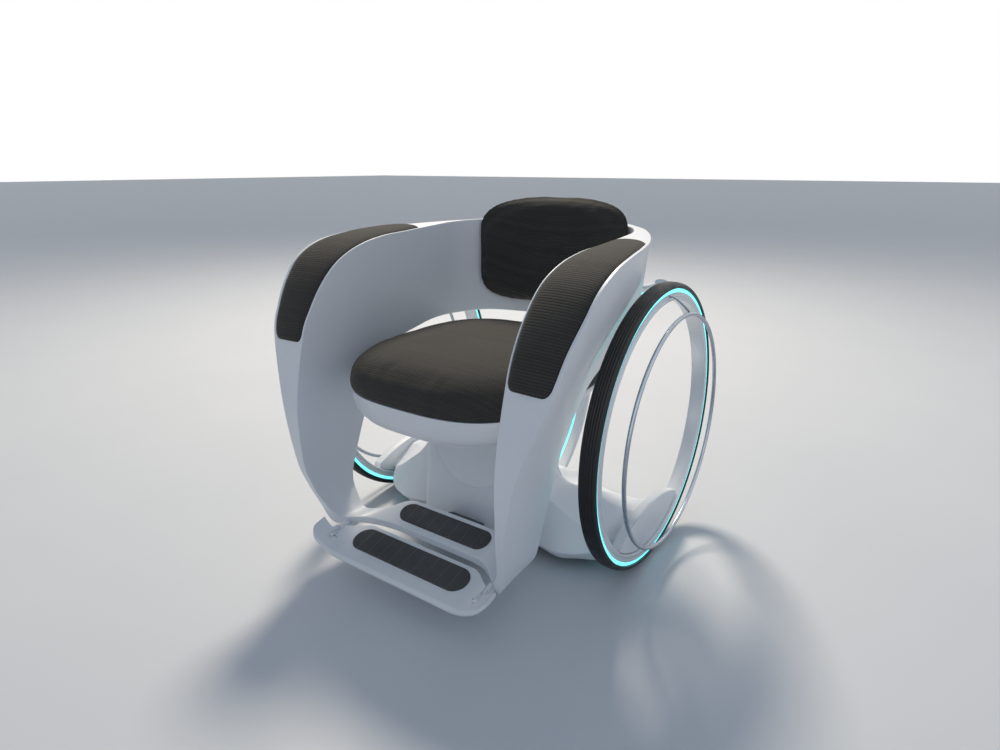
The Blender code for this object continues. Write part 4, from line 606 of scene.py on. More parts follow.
def strip(thick):
    """The light strip's section: it lies in the groove and stands proud of the fork's inner face."""
    t, g = -thick / 2, STRIP_HALF
    corners = [(-g, t + STRIP_BACK), (g, t + STRIP_BACK), (g, t - STRIP_PROUD), (-g, t - STRIP_PROUD)]
    outline = np.stack([np.stack(np.broadcast_arrays(a + 0 * t, b), -1) for a, b in corners], 1)
    return rounded(outline, STRIP_CORNER, 4)


def build_fork():
    """The spine goes up behind the wheels' middle and parts into two arms."""
    degrees = np.linspace(SPINE_START - 0.05, FORK_START - 0.06, 70)
    zero = np.zeros_like(degrees)
    thick = zero + SPINE_THICKNESS
    spine = fork_rings(ribbon(zero + SPINE_WIDTH / 2, thick), degrees, zero, zero)
    dress(skin("fork_spine", spine, white), "chair_body", "white_plastic", "rear_spine")
    light = fork_rings(strip(thick), degrees, zero, zero)
    dress(skin("spine_glow", light, glow), "chair_body", "cyan_light", "spine_light")
    for label, side in SIDES:
        build_arm(label, side)


def build_arm(label, side):
    """The arm leans with its climb away from the middle and ends in a rounded tip."""
    tip = ARM_END - TIP_ROUND * (1 - np.sin(np.linspace(0, np.pi / 2, 8)))
    degrees = np.concatenate([np.linspace(FORK_START, ARM_END - TIP_ROUND, 150)[:-1], tip])
    share = np.clip((degrees - FORK_START) / (ARM_END - FORK_START), 0, 1)
    places, offsets = np.array(ARM_OFFSETS).T
    low, high = np.maximum(degrees - 1, FORK_START), np.minimum(degrees + 1, ARM_END)
    run = np.linalg.norm(on_fork(0, 0, degrees)[:, 1:] - (0, AXLE_HEIGHT), axis=1)
    middle = curve(places, offsets, degrees, False)
    gain = curve(places, offsets, high, False) - curve(places, offsets, low, False)
    climb = gain / np.radians(high - low) / run
    lean = -np.degrees(climb) / run * np.minimum(1, (degrees - FORK_START) / LEAN_RUN)
    thick = SPINE_THICKNESS * (1 - share) + ARM_TIP_THICKNESS * share
    half = (SPINE_WIDTH / 4 - 0.00015) * (1 - share) + ARM_TIP_WIDTH / 2 * share
    to_end = np.clip((ARM_END - degrees) / TIP_ROUND, 0, 1)
    half = half - 0.005 * (1 - np.sqrt(1 - (1 - to_end)**2 * 0.999))
    arm = fork_rings(ribbon(half, thick), degrees, middle, lean) * (side, 1, 1)
    dress(skin(f"fork_arm_{label}", arm, white), "chair_body", "white_plastic", f"rear_arm_{label}")
    lit = degrees <= ARM_LIGHT_END
    light = fork_rings(strip(thick[lit]), degrees[lit], middle[lit], lean[lit]) * (side, 1, 1)
    dress(skin(f"arm_glow_{label}", light, glow), "chair_body", "cyan_light", f"arm_light_{label}")


# Base

def base_rows():
    """Side distance, then (y, z) of foot, nose, brow, crest, deck, tail and heel of the base's section."""
    low = BASE_BOTTOM
    column = ((COLUMN_FRONT_FOOT + 0.012, low), (COLUMN_FRONT_FOOT, COLUMN_NOSE),
              (COLUMN_FRONT_TOP, COLUMN_TOP), (-0.065, COLUMN_TOP), (0.000, 0.112))
    seats = [on_fork(0, h, np.float64(SPINE_START - 0.05))[1:] for h in (-SPINE_THICKNESS, SPINE_THICKNESS)]
    end = ((-0.045, 0.042), (-0.102, 0.064), (-0.106, 0.075), (-0.030, 0.112), (0.040, 0.112),
           (0.110, 0.072), (0.045, 0.042))
    rows = (
        (0.0, column + tuple(map(tuple, seats))),
        (0.0305, column + tuple(map(tuple, seats))),
        (0.060, column + ((0.187, 0.047), (0.176, low))),
        (0.118, column + ((0.166, 0.048), (0.153, low))),
        (0.127, ((-0.190, low), (-0.2065, COLUMN_NOSE), (-0.1855, 0.225), (-0.062, 0.235), (0.004, 0.110),
                 (0.163, 0.047), (0.150, low))),
        (0.135, ((-0.1455, low), (-0.166, 0.050), (-0.184, 0.215), (-0.060, 0.178), (0.008, 0.107),
                 (0.160, 0.046), (0.148, low))),
        (0.170, ((-0.155, low), (-0.179, 0.051), (-0.174, 0.179), (-0.058, 0.148), (0.025, 0.103),
                 (0.150, 0.045), (0.138, low))),
        (0.210, ((-0.162, low), (-0.1855, 0.052), (-0.164, 0.148), (-0.055, 0.147), (0.035, 0.103),
                 (0.140, 0.047), (0.128, low))),
        (0.250, ((-0.142, low), (-0.176, 0.055), (-0.151, 0.117), (-0.052, 0.134), (0.040, 0.102),
                 (0.132, 0.050), (0.118, low))),
        (0.290, ((-0.120, low), (-0.149, 0.062), (-0.135, 0.092), (-0.045, 0.122), (0.045, 0.103),
                 (0.125, 0.055), (0.105, low))),
        (0.3193, end),
        (0.3282, end),
    )
    return np.array([x for x, _ in rows]), np.array([points for _, points in rows], float)


def base_section(x):
    """Sections (row, corner, 2) at side distances, on curves through the rows that never swing past them."""
    places, points = base_rows()
    return curve(places, points.reshape(len(places), -1), np.abs(x)).reshape(len(x), 7, 2)


BASE_WALL, BASE_SOLID_FROM, TUBE_HOLE, DISH_STEP = 0.0045, 0.283, 0.0375, 0.0010
BASE_ROUNDINGS = np.array((3, 4, 4, 6, 16, 6, 3)) * 0.001


def build_base():
    """Sections across the chair, each over the outside and back along the inside of the wall.

    So the bottom is open. Past the opening the inside lies on the chord between foot and heel.
    """
    half = np.concatenate([np.linspace(0, 0.110, 40), np.linspace(0.112, 0.140, 29),
                           np.linspace(0.144, 0.316, 60), np.linspace(0.3193, 0.3282, 4)])
    x = np.concatenate([-half[::-1], half[1:]])
    outer = base_section(x)
    middle = outer.mean(1, keepdims=True)
    inner = middle + (outer - middle) * (1 - BASE_WALL / np.abs(outer - middle).max(-1, keepdims=True))
    inner[:, 1:3, 0] += np.where(np.abs(x) < 0.13, DISH_DEPTH, 0.0)[:, None]
    inner[:, (0, -1), 1] = outer[:, (0, -1), 1]
    share = np.linspace(0.02, 0.98, 7)[None, :, None]
    chord = outer[:, :1] + (outer[:, -1:] - outer[:, :1]) * share
    inner = np.where((np.abs(x) > BASE_SOLID_FROM)[:, None, None], chord, inner)
    section = np.concatenate([rounded(outer, BASE_ROUNDINGS, 7), rounded(inner[:, ::-1], 0.002, 3)], 1)
    grid = np.concatenate([np.broadcast_to(x[:, None, None], (*section.shape[:2], 1)), section], -1)
    base = skin("base_body", grid, white)
    hole = [(COLUMN_TOP - 0.02, TUBE_HOLE), (COLUMN_TOP + 0.02, TUBE_HOLE)]
    carve(base, dish_form(), skin("tube_hole", upright(hole, (0, LIFT_PLACE, 0)), white))
    dress(base, "chair_body", "white_plastic", "base_shell")


def dish_form():
    """Part of a ball whose middle lies in front of the column's sloping face, with a step at its rim."""
    back, up = COLUMN_FRONT_TOP - COLUMN_FRONT_FOOT, COLUMN_TOP - COLUMN_NOSE
    ball = (DISH_RADIUS**2 + DISH_DEPTH**2) / (2 * DISH_DEPTH)
    radius = DISH_RADIUS * np.linspace(1, 0.01, 24)
    depth = np.sqrt(ball**2 - radius**2) - ball + DISH_DEPTH + DISH_STEP
    profile = [(-0.02, DISH_RADIUS * 0.02), (-0.02, DISH_RADIUS), *zip(depth, radius)]
    form = skin("dish_form", upright(profile, (0, -CHAIR_SHIFT, 0), 192), white)
    face = COLUMN_FRONT_FOOT + back * (DISH_HEIGHT - COLUMN_NOSE) / up
    place = Vector((0, face + CHAIR_SHIFT, DISH_HEIGHT))
    lean = Matrix.Rotation(-math.atan2(back, up) - math.pi / 2, 4, "X")
    form.data.transform(Matrix.Translation(place) @ lean)
    return form


# Armchair shell

SHELL_ROWS = np.array((
    ((0.0004, 0.190, 0.705), (0.0004, 0.235, 0.705), (0.0004, 0.200, 0.465)),
    ((0.100, 0.180, 0.705), (0.115, 0.222, 0.705), (0.100, 0.185, 0.465)),
    ((0.190, 0.145, 0.702), (0.212, 0.161, 0.699), (0.195, 0.148, 0.466)),
    ((0.236, 0.070, 0.699), (0.270, 0.074, 0.697), (0.240, 0.075, 0.466)),
    ((0.245, -0.010, 0.694), (0.315, -0.025, 0.694), (0.250, -0.010, 0.466)),
    ((0.245, -0.100, 0.688), (0.345, -0.120, 0.692), (0.257, -0.085, 0.452)),
    ((0.245, -0.180, 0.683), (0.358, -0.200, 0.685), (0.260, -0.135, 0.439)),
    ((0.244, -0.250, 0.670), (0.364, -0.270, 0.672), (0.260, -0.176, 0.415)),
    ((0.244, -0.310, 0.645), (0.364, -0.325, 0.645), (0.257, -0.199, 0.386)),
    ((0.245, -0.355, 0.607), (0.360, -0.362, 0.605), (0.255, -0.220, 0.361)),
    ((0.246, -0.392, 0.557), (0.350, -0.395, 0.555), (0.254, -0.240, 0.335)),
    ((0.248, -0.420, 0.497), (0.338, -0.420, 0.495), (0.254, -0.254, 0.308)),
    ((0.247, -0.449, 0.362), (0.292, -0.450, 0.360), (0.2535, -0.280, 0.250)),
    ((0.246, -0.448, 0.240), (0.266, -0.450, 0.240), (0.2525, -0.308, 0.180)),
    ((0.240, -0.437, 0.185), (0.255, -0.437, 0.183), (0.250, -0.316, 0.148)),
    ((0.229, -0.418, 0.135), (0.243, -0.418, 0.130), (0.240, -0.318, 0.120)),
    ((0.205, -0.398, 0.100), (0.222, -0.400, 0.080), (0.210, -0.325, 0.0885)),
    ((0.172, -0.365, 0.093), (0.175, -0.366, 0.078), (0.172, -0.322, 0.0915)),
    ((0.145, -0.344, 0.086), (0.146, -0.344, 0.071), (0.148, -0.298, 0.0935)),
    ((0.118, -0.332, 0.081), (0.119, -0.332, 0.066), (0.125, -0.264, 0.0985)),
    ((0.090, -0.329, 0.080), (0.090, -0.329, 0.065), (0.090, -0.255, 0.0995)),
    ((0.0004, -0.328, 0.080), (0.0004, -0.328, 0.065), (0.0004, -0.254, 0.0995)),
))


def along_rows(places):
    """Inner crease, outer crease and lower edge (place, 3, 3) at places counted in rows.

    The curves go through four neighbouring rows, which past both ends are mirrored in the chair's middle.
    """
    places = np.atleast_1d(np.asarray(places, float))
    flip = np.array((-1.0, 1.0, 1.0))
    rows = np.concatenate([SHELL_ROWS[1:2] * flip, SHELL_ROWS, SHELL_ROWS[-2:-1] * flip])
    i = np.clip(places.astype(int), 0, len(SHELL_ROWS) - 2)
    t = (places - i)[:, None, None]
    a, b, c, d = rows[i], rows[i + 1], rows[i + 2], rows[i + 3]
    return 0.5 * (2 * b + (c - a) * t + (2 * a - 5 * b + 4 * c - d) * t**2 + (3 * b - a - 3 * c + d) * t**3)


def unit(v):
    """Vectors brought to length one."""
    return v / np.linalg.norm(v, axis=-1, keepdims=True)


def place_where(column, axis, value, low, high):
    """Place between two rows where a guide curve passes a value."""
    at = np.linspace(low, high, 4001)
    found = along_rows(at)[:, column, axis]
    return at[np.argmin(np.abs(found - value))]


PAD_BACK_PLACE, PAD_FRONT_HEIGHT, PAD_PLAY, PAD_WALL = -0.050, 0.490, 0.0006, 0.0003
PAD_START, PAD_END = place_where(0, 1, PAD_BACK_PLACE, 4, 6), place_where(0, 2, PAD_FRONT_HEIGHT, 9, 12)
PAD_STEPS = np.diff(along_rows(np.linspace(PAD_START, PAD_END, 9))[:, 0], axis=0)
PAD_LENGTH = np.linalg.norm(PAD_STEPS, axis=1).sum()


def pad_narrowing(places):
    """How much narrower the pad is at places because of its round corners."""
    to_end = np.minimum(places - PAD_START, PAD_END - places) / (PAD_END - PAD_START) * PAD_LENGTH
    short = np.clip(PAD_CORNER - np.maximum(to_end, 0), 0, PAD_CORNER)
    return PAD_CORNER - np.sqrt(PAD_CORNER**2 - short**2)


def armrest_frame(places):
    """Inner and outer crease, the way across from one to the other and the way up from the armrest's face."""
    inner, outer, _ = along_rows(places).transpose(1, 0, 2)
    before, after = along_rows(places - 0.05), along_rows(places + 0.05)
    across = unit(outer - inner)
    along = unit(after[:, 0] + after[:, 1] - before[:, 0] - before[:, 1])
    return inner, outer, across, unit(np.cross(along, across))


def shell_sections(places):
    """Sections: the armrest's face with the pad's hollow, the bulging outside, the edge and the inside."""
    inner, outer, edge = along_rows(places).transpose(1, 0, 2)
    _, _, _, up = armrest_frame(np.clip(places, 0.06, len(SHELL_ROWS) - 1.06))
    across = unit(outer - inner)
    low_outer, low_inner = edge + across * SHELL_EDGE / 2, edge - across * SHELL_EDGE / 2
    drop = low_outer - outer
    length = np.linalg.norm(drop, axis=1, keepdims=True)
    way = drop / length
    out = unit(across - way * np.sum(way * across, 1, keepdims=True))
    bulge = SHELL_BULGE * np.interp(length, (0.10, 0.25), (0, 1))
    swell = [outer + drop * s + out * bulge * math.sin(math.pi * s) for s in np.linspace(0.08, 0.92, 12)]
    flat = [low_inner + (inner - low_inner) * s for s in (0.25, 0.5, 0.75)]
    width = np.linalg.norm(outer - inner, axis=1, keepdims=True)
    inside = ((places >= PAD_START) & (places <= PAD_END))[:, None]
    tight = np.where(inside, pad_narrowing(places)[:, None] - PAD_PLAY, 0.0)
    near = np.where(inside, PAD_INNER_MARGIN + tight, 0.3 * width)
    far = width - np.where(inside, PAD_OUTER_MARGIN + tight, 0.3 * width)
    sink = np.where(inside, PAD_SUNK, 0.0)
    face = [inner + across * near, inner + across * (near + PAD_WALL) - up * sink,
            inner + across * (far - PAD_WALL) - up * sink, inner + across * far]
    ring = np.stack([inner, *face, outer, *swell, low_outer, low_inner, *flat], 1)
    radii = np.array([2.8] + [0.5] * 4 + [2.2] + [20] * 12 + [4, 4] + [20] * 3) * 0.001
    thin = np.interp(places, (13, 16), (1, 0.6))[:, None]
    return rounded(ring, radii * thin, 5)


def shell_places():
    """Places of the sections: even steps, and close ones where the pad's hollow starts and ends."""
    step = 1e-4
    places = [*np.linspace(0, 21, 21 * 14 + 1), PAD_START - step, PAD_START, PAD_END, PAD_END + step]
    for corner in np.linspace(0, PAD_CORNER, 10)[1:]:
        share = corner / PAD_LENGTH * (PAD_END - PAD_START)
        places += [PAD_START + share, PAD_END - share]
    return np.unique(places)


def build_shell(label, side):
    """One half of the armchair shell: its sections from the back's middle round to the footplate's."""
    sections = shell_sections(shell_places()) * (side, 1, 1)
    shell = skin(f"armchair_{label}", sections, white)
    dress(shell, "chair_body", "white_plastic", f"shell_{label}")


# Soft pieces

CLOTH_PRESSURE, CLOTH_FRAMES, CLOTH_FACE = 4.0, 20, 0.005
SEAT_SWELL, BACK_SWELL = 0.006, 0.007
BACK_SHAPE, BACK_GAP, BACK_CROWN = 5.5, 0.0023, 0.25


def stuffed(obj, cap, free):
    """Swells a closed form as a filled cover does.

    An even skin of small faces is blown up by cloth simulation and smoothed. No point moves further than cap,
    and free says how much of the move each point may make.
    """
    remesh = obj.modifiers.new("even_skin", "REMESH")
    remesh.mode, remesh.voxel_size = "VOXEL", CLOTH_FACE
    applied(obj)
    before = coordinates(obj.data).copy()
    cover = obj.modifiers.new("cover", "CLOTH")
    cover.settings.use_pressure = True
    cover.settings.uniform_pressure_force = CLOTH_PRESSURE
    cover.settings.effector_weights.gravity = 0.0
    for number in range(1, CLOTH_FRAMES + 1):
        bpy.context.scene.frame_set(number)
    applied(obj)
    bpy.context.scene.frame_set(1)
    move = coordinates(obj.data) - before
    move *= np.minimum(1, cap / np.maximum(np.linalg.norm(move, axis=1, keepdims=True), 1e-9))
    obj.data.vertices.foreach_set("co", (before + move).ravel())
    settle = obj.modifiers.new("settle", "SMOOTH")
    settle.factor, settle.iterations = 0.5, 12
    applied(obj)
    settled = before + (coordinates(obj.data) - before) * free(before)[:, None]
    obj.data.vertices.foreach_set("co", settled.astype(np.float32).ravel())
    obj.data.update()
    obj.modifiers.new("finer", "SUBSURF").levels = 1
    applied(obj)
    obj.data.shade_smooth()
    return obj


def cloth_lengths(obj, lengths):
    """Stores for each point how far it lies along and across the ribs of the cover."""
    run, across = lengths(coordinates(obj.data).astype(float))
    values = np.stack([run, across, 0 * run], 1).astype(np.float32)
    obj.data.attributes.new("cloth", "FLOAT_VECTOR", "POINT").data.foreach_set("vector", values.ravel())


def seat_outline(points=256):
    """Superellipse about the seat's middle, spaced evenly by angle of its parameter."""
    turn = np.linspace(0, 2 * np.pi, points, endpoint=False)
    c, s = np.cos(turn), np.sin(turn)
    power = 2 / SEAT_SHAPE
    return np.stack([SEAT_HALF_WIDTH * np.sign(c) * np.abs(c)**power,
                     SEAT_HALF_LENGTH * np.sign(s) * np.abs(s)**power], 1)


def seat_rings(levels, points=256):
    """Rings about the seat from (share, height, rise towards the rear for a length of 1)."""
    outline = seat_outline(points)
    share, height, tilt = np.asarray(levels, float).T[..., None]
    x, y = outline.T
    return np.stack([x * share, SEAT_MIDDLE + y * share, height + tilt * y * share], -1)


def build_pan():
    """A shallow tray whose crisp lower edge is higher at the rear than in front."""
    rim, low = SEAT_SEAM, SEAT_SEAM - PAN_DEPTH
    edge, floor = rim - PAN_SIDE, rim - SEAT_SUNK
    bottom = [(0.02, low, 0), (0.40, low, 0), (0.44, low + 0.0025, 0.003), (0.60, low + 0.0230, 0.037),
              (PAN_EDGE - 0.010, edge - 0.0015, 0.098), (PAN_EDGE, edge, PAN_TILT),
              (PAN_EDGE + 0.004, edge + 0.0020, 0.099)]
    outside = [(0.935, edge + 0.0085, 0.086), (0.955, edge + 0.0150, 0.066), (0.968, edge + 0.0235, 0.034),
               (0.974, edge + 0.0310, 0.008), (PAN_RIM, rim - 0.0012, 0)]
    lip = [(PAN_RIM - 0.0015, rim, 0), (PAN_RIM - 0.010, rim + 0.0002, 0), (PAN_RIM - 0.024, rim, 0)]
    inside = [(PAN_RIM - 0.026, rim - 0.0012, 0), (PAN_RIM - 0.035, rim - 0.004, 0),
              (PAN_EDGE - 0.035, edge + 0.006, PAN_TILT), (PAN_EDGE - 0.10, floor, 0.08), (0.02, floor, 0)]
    levels = bottom + outside + lip + inside
    smooth = curve(np.arange(len(levels)), levels, np.linspace(0, len(levels) - 1, 6 * len(levels) - 5))
    dress(skin("seat_bowl", seat_rings(smooth), white), "seat_body", "white_plastic", "seat_pan")


def lengths_over_dome(p):
    """Side distance, and the way from the cushion's middle to the front or the rear over its dome."""
    out = p[:, 1] - SEAT_MIDDLE - CHAIR_SHIFT
    return p[:, 0], out + (SEAT_SEAM + SEAT_DOME - p[:, 2]) * np.tanh(out / 0.08)


def build_seat_cushion():
    """A dome that is flat on top and steep at the rim, on a plug that lies in the pan."""
    turn = np.radians(np.linspace(88, 4, 26))
    height = SEAT_SEAM + 0.009 + (SEAT_DOME - 0.0125) * np.cos(turn)**(2 / DOME_SHAPE)
    dome = np.stack([1.002 * np.sin(turn)**(2 / DOME_SHAPE), height, 0 * turn], 1)
    floor, edge = SEAT_SEAM - SEAT_SUNK + 0.0035, SEAT_SEAM - PAN_SIDE + 0.010
    plug = [(0.02, floor, 0), (PAN_EDGE - 0.13, floor, 0.08), (PAN_EDGE - 0.06, edge, PAN_TILT),
            (PAN_RIM - 0.045, SEAT_SEAM + 0.0005, 0), (PAN_RIM + 0.005, SEAT_SEAM + 0.0030, 0)]
    cushion = skin("seat_pad", seat_rings(plug + dome.tolist(), 160), cloth)
    stuffed(cushion, SEAT_SWELL, lambda p: np.clip((p[:, 2] - SEAT_SEAM - 0.004) / 0.02, 0, 1))
    cloth_lengths(cushion, lengths_over_dome)
    dress(cushion, "seat_body", "charcoal_fabric", "seat_cushion")


def shell_inside(x, height):
    """How far back the shell's inner face is at side distances and heights."""
    at = np.linspace(0, 3, 600)
    rows = along_rows(at)
    place = np.interp(np.minimum(np.abs(x), 0.235), rows[:, 0, 0], at)
    inner, _, edge = along_rows(place.ravel()).transpose(1, 0, 2)
    inner, edge = inner.reshape(*x.shape, 3), edge.reshape(*x.shape, 3)
    share = np.clip((inner[..., 2] - height) / (inner[..., 2] - edge[..., 2]), 0, 1)
    return inner[..., 1] + (edge[..., 1] - SHELL_EDGE / 2 - inner[..., 1]) * share


def free_of_the_shell(p):
    """How free the back cushion's points are: those next to the shell keep still."""
    gap = shell_inside(p[:, 0], p[:, 2]) + CHAIR_SHIFT - p[:, 1]
    return np.clip((gap - 0.012) / 0.01, 0, 1)


def build_back_cushion():
    """Rings of a rounded rectangle, from the flat back to the crowned front. The top falls to the sides."""
    turn = 2 * np.pi * (np.arange(200) + 0.5) / 200
    c, s = np.cos(turn), np.sin(turn)
    x = BACK_HALF_WIDTH * np.sign(c) * np.abs(c)**(2 / BACK_SHAPE)
    half = (BACK_TOP - BACK_BOTTOM) / 2
    z = half * np.sign(s) * np.abs(s)**(2 / BACK_SHAPE)
    z = z - BACK_DROP * (x / BACK_HALF_WIDTH)**2 * np.clip(z / half, 0, 1)
    levels = np.array(((0.02, 0, 0.001), (0.50, 0, 0.001), (0.90, 0, 0.0015), (0.955, 0, 0.004),
                       (0.970, 1, 0.010), (0.980, 1, 0.016), (0.975, 1, 0.024), (0.955, 1, 0.029),
                       (0.90, 1, 0.032), (0.80, 1, 0.0335), (0.45, 1, 0.0345), (0.02, 1, 0.0350)))
    share, front, depth = levels.T[..., None]
    height = (BACK_TOP + BACK_BOTTOM) / 2 + z * share
    rest = shell_inside(x * share, np.minimum(height, 0.700)) - BACK_GAP
    y = rest - depth * (1 - BACK_CROWN * (x / BACK_HALF_WIDTH)**2 * front)
    cushion = skin("back_pad", np.stack([x * share, y, height], -1), cloth)
    stuffed(cushion, BACK_SWELL, free_of_the_shell)
    cloth_lengths(cushion, lambda p: (p[:, 0], p[:, 2] + p[:, 1]))
    dress(cushion, "chair_body", "charcoal_fabric", "back_cushion")


def build_pad(label, side):
    """Armrest pad: a low crowned section set square to the armrest all the way, narrower at its corners."""
    corner = PAD_CORNER / PAD_LENGTH
    ends = corner * (1 - np.cos(np.linspace(0, np.pi / 2, 10)))
    share = np.concatenate([ends[:-1], np.linspace(corner, 1 - corner, 80), 1 - ends[:-1][::-1]])
    places = PAD_START + (PAD_END - PAD_START) * share
    inner, outer, across, up = armrest_frame(places)
    start, end = inner + across * PAD_INNER_MARGIN, outer - across * PAD_OUTER_MARGIN
    middle = (start + end) / 2
    half = np.linalg.norm(end - start, axis=1) / 2 - pad_narrowing(places) - 0.0004
    fullness = 1 - (pad_narrowing(places) / PAD_CORNER)**2
    top = (0.0005 + PAD_CROWN * fullness)[:, None]
    a = np.concatenate([np.linspace(-1, 1, 12), np.cos(np.linspace(0.05, np.pi - 0.05, 40))])
    rise = np.concatenate([np.full(12, 0.0), np.sin(np.linspace(0.05, np.pi - 0.05, 40))**(2 / 3.6)])
    height = -PAD_SUNK + 0.0003 + rise * (top + PAD_SUNK - 0.0003)
    grid = middle[:, None] + across[:, None] * (half[:, None] * a)[..., None]
    grid = grid + up[:, None] * height[..., None]
    pad = skin(f"arm_pad_{label}", grid * (side, 1, 1), cloth, sharp=60)
    lengths = np.cumsum(np.r_[0, np.linalg.norm(np.diff(middle, axis=0), axis=1)])
    run = np.stack([half[:, None] * a, np.broadcast_to(lengths[:, None], (len(middle), len(a)))], -1)
    values = np.concatenate([run, 0 * run[..., :1]], -1).astype(np.float32)
    pad.data.attributes.new("cloth", "FLOAT_VECTOR", "POINT").data.foreach_set("vector", values.ravel())
    dress(pad, "chair_body", "charcoal_fabric", f"armrest_pad_{label}")


# Footplates

SLOT_REAR, SLOT_ABOVE, SLOT_BELOW = -0.386, 0.100, 0.060
SLOT_PLAY, SLOT_SIDE_PLAY = 0.0018, 0.0006
LENS_HALF_WIDTH, LENS_HALF_LENGTH, LENS_MIDDLE, LENS_DEPTH = 0.0080, 0.029, 0.420, 0.0022
FRONT_GRIP = (0.150, 0.0292, -0.402)
REAR_GRIP = (0.120, 0.0243, -0.290)


def plate_top(x, y):
    """Height of the front plate: a slope towards the rear, and ends that rise."""
    rise = np.maximum(np.abs(x) - PLATE_RISE_START, 0) / (PLATE_HALF_WIDTH - PLATE_RISE_START)
    return PLATE_HEIGHT + PLATE_SLOPE * (y - PLATE_LEVEL_PLACE) + PLATE_RISE * rise * rise


def build_front_plate():
    """Sections from the front edge to the rear one, with a lens-shaped hollow and a slot at each hinge."""
    half = np.concatenate([np.linspace(0, 0.150, 40)[:-1], np.linspace(0.150, PLATE_HALF_WIDTH, 100)])
    x = np.concatenate([-half[::-1], half[1:]])[:, None]
    places, rears = np.array(PLATE_REAR).T
    rear = curve(places, rears, np.abs(x[:, 0]))[:, None]
    short = np.clip(np.abs(x) - (PLATE_HALF_WIDTH - PLATE_CORNER), 0, PLATE_CORNER)
    front = PLATE_FRONT + 0.85 * (PLATE_CORNER - np.sqrt(PLATE_CORNER**2 - short**2))
    front = np.minimum(front, rear - 0.012)
    t = PLATE_THICKNESS
    top = [(front + (rear - front) * s, 0.0) for s in np.linspace(0.06, 0.97, 36)]
    edge = [(rear, -0.3 * t), (rear, -t), (front + 0.66 * t, -t), (front, -0.75 * t), (front, -0.3 * t)]
    y = np.concatenate([np.broadcast_to(a, x.shape) for a, _ in top + edge], 1)
    drop = np.concatenate([np.full(x.shape, b) for _, b in top + edge], 1)
    lens_x, lens_y = (np.abs(x) - HINGE_OUT) / LENS_HALF_WIDTH, (y + LENS_MIDDLE) / LENS_HALF_LENGTH
    lens = np.clip(1 - lens_x**2 - lens_y**2, 0, 1)
    z = plate_top(x, y) + drop - np.where(drop == 0, LENS_DEPTH * np.sqrt(lens), 0)
    grid = np.stack([np.broadcast_to(x, y.shape), y, z], -1)
    radii = np.array([2.5] + [6] * 34 + [2.5, 2, 1.5, 2, 2, 2]) * 0.001
    plate = skin("front_plate", rounded(grid, radii, 4), white)
    slots = [lug_slot(side) for _, side in SIDES]
    dress(carve(plate, *slots), "footplate_body", "white_plastic", "front_footplate")


def lug_slot(side):
    """The slot that the hinge lug lies in: seen from the side a round eye, open upwards behind the hinge."""
    y, z = HINGE_PLACE
    play, half = SLOT_PLAY, HINGE_LUG / 2 + SLOT_SIDE_PLAY
    turn = np.linspace(np.pi / 2, 1.5 * np.pi, 13)
    eye = np.stack([y + (HINGE_EYE + play) * np.cos(turn), z + (HINGE_EYE + play) * np.sin(turn)], 1)
    above = [(SLOT_REAR, SLOT_ABOVE), (y, SLOT_ABOVE)]
    below = [(y + 0.026, z - 0.0078 - play), (SLOT_REAR, SLOT_BELOW)]
    outline = np.concatenate([above, eye, below])
    across = side * HINGE_OUT + np.array((-half, half))
    rings = [np.concatenate([np.full((len(outline), 1), x), outline], 1) for x in across]
    return skin("lug_slot", np.stack(rings), white)


def rear_plate_top(x, y):
    """Height of the rear plate, which is the shell's lower end, at side distances and places."""
    at = np.linspace(21, 17, 600)
    rows = along_rows(at)
    inner, outer, edge = along_rows(np.interp(np.abs(x), rows[:, 0, 0], at)).transpose(1, 0, 2)
    edge = edge - unit(outer - inner) * SHELL_EDGE / 2
    return inner[:, 2] + (edge[:, 2] - inner[:, 2]) * (y - inner[:, 1]) / (edge[:, 1] - inner[:, 1])


def grip_rings(length, width, middle, surface):
    """A bar with round ends and a rolled edge, 2.4 mm above a plate, from its half length and half width."""
    angle = np.linspace(-np.pi / 2, np.pi / 2, 40)
    right = np.stack([length - width + width * np.cos(angle), width * np.sin(angle)], 1)
    outline = np.concatenate([right, -right])
    levels = [(-0.0015, 0.0), (0.0012, 0.0), (0.0019, 0.0004), (0.0023, 0.0012), (0.0024, 0.0026)]
    levels += [(0.0024, width * share) for share in (0.3, 0.6, 0.95)]
    rings = []
    for height, drawn in levels:
        x, y = inset(outline, drawn).T
        rings.append(np.stack([x, middle + y, surface(x, middle + y) + height], 1))
    return np.stack(rings)


def build_grips():
    """A tread strip on each plate, which follows the plate's surface."""
    front = grip_rings(*FRONT_GRIP, plate_top)
    dress(skin("front_tread", front, tread), "footplate_body", "black_grip", "front_grip")
    rear = grip_rings(*REAR_GRIP, rear_plate_top)
    dress(skin("rear_tread", rear, tread), "chair_body", "black_grip", "rear_grip")


# Studio

LAMPS = (("sun_side", (-1.74, 2.23, 3.97), 1.0, 185, "FFF2DF"),
         ("front", (1.6, -3.0, 2.2), 3.0, 11, "DCE9FF"),
         ("left", (3.0, 0.6, 1.8), 2.0, 5, "E4EEFF"))
LIT_PLACE, FLOOR_REACH, ROOM_LIGHT = (0, 0, 0.35), 40.0, 0.43
CAMERA_LENS, CAMERA_PLACE, CAMERA_TILT, CAMERA_HEADING = 23.38, (0.8045, -1.1596, 0.8310), 72.08, 35.08


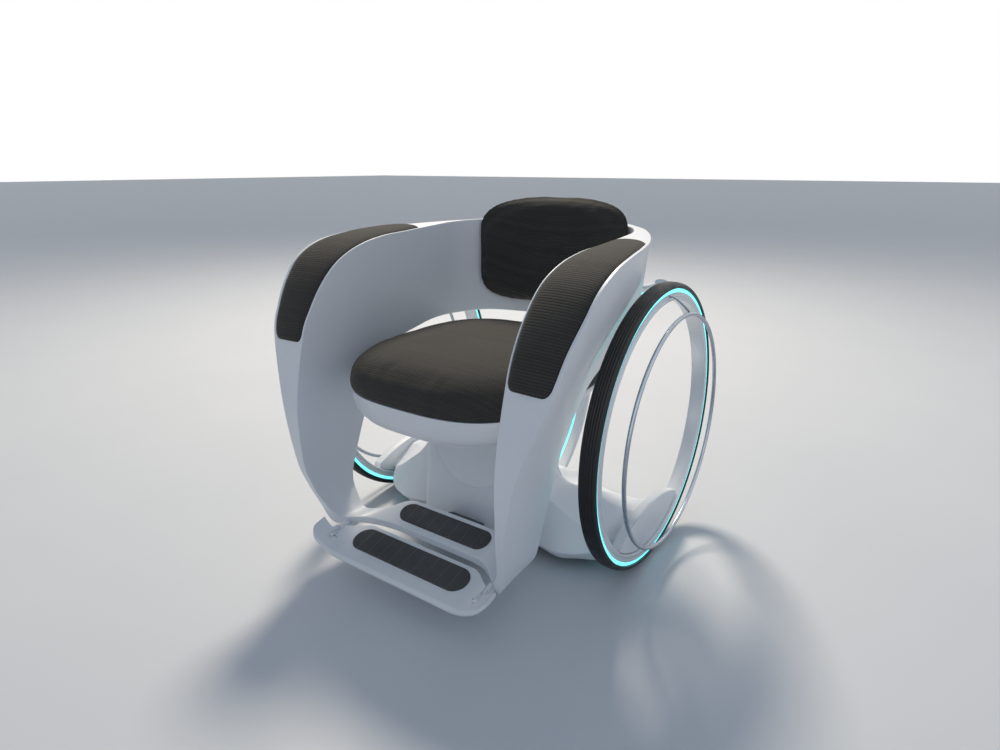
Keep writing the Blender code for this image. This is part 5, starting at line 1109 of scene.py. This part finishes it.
def build_studio():
    """A pale floor, a warm lamp high behind the sitter's right and two cool, weak lamps."""
    reach = FLOOR_REACH
    floor = bpy.data.meshes.new("studio_floor")
    floor.from_pydata([(-reach, -reach, 0), (reach, -reach, 0), (reach, reach, 0), (-reach, reach, 0)], [],
                      [(0, 1, 2, 3)])
    material, tree, shader, place = blank("painted_studio_floor")
    cloud = add(tree, "TexNoise", {"Vector": place, "Scale": 2.0, "Detail": 2.0})
    tone = add(tree, "Mix", {0: cloud, 6: linear("CDD1D6"), 7: linear("D6D9DD")}, 2, data_type="RGBA")
    feed(tree, shader, {
        "Base Color": tone,
        "Roughness": add(tree, "MapRange", {"Value": cloud, "To Min": 0.5, "To Max": 0.6})})
    floor.materials.append(material)
    obj = bpy.data.objects.new("studio_floor", floor)
    bpy.context.scene.collection.objects.link(obj)
    for name, place, size, power, colour in LAMPS:
        light = bpy.data.lights.new(name, "AREA")
        light.shape, light.size, light.energy, light.color = "DISK", size, power, linear(colour)[:3]
        lamp = bpy.data.objects.new(name, light)
        lamp.location = place
        lamp.rotation_euler = (Vector(LIT_PLACE) - Vector(place)).to_track_quat("-Z", "Y").to_euler()
        bpy.context.scene.collection.objects.link(lamp)


def build_world():
    """Pale cool room light, and a plain white backdrop for the camera and for what the metal reflects."""
    world = bpy.data.worlds.new("studio")
    world.use_nodes = True
    bpy.context.scene.world = world
    tree = world.node_tree
    tree.nodes.clear()
    rays = add(tree, "LightPath", {}).node.outputs
    seen = add(tree, "Math", {0: rays["Is Camera Ray"], 1: rays["Is Glossy Ray"]}, operation="MAXIMUM")
    room = add(tree, "Background", {"Color": linear("C8D6E8"), "Strength": ROOM_LIGHT})
    backdrop = add(tree, "Background", {"Color": (1, 1, 1, 1), "Strength": 1.0})
    mixed = add(tree, "MixShader", {0: seen, 1: room, 2: backdrop})
    feed(tree, tree.nodes.new("ShaderNodeOutputWorld"), {"Surface": mixed})


def build_camera():
    """The camera that the photograph's horizon and wheels gave."""
    camera = bpy.data.objects.new("camera", bpy.data.cameras.new("camera"))
    camera.data.lens = CAMERA_LENS
    camera.location = CAMERA_PLACE
    camera.rotation_euler = (math.radians(CAMERA_TILT), 0, math.radians(CAMERA_HEADING))
    bpy.context.scene.collection.objects.link(camera)
    bpy.context.scene.camera = camera
    bpy.context.scene.view_settings.view_transform = "Standard"


build_camera()
finish_kept_nodes()
build_base()
build_fork()
build_pan()
build_seat_cushion()
build_back_cushion()
build_front_plate()
build_grips()
for label, side in SIDES:
    build_wheel(label, side)
    build_pod(label, side)
    build_shell(label, side)
    build_pad(label, side)
build_studio()
build_world()
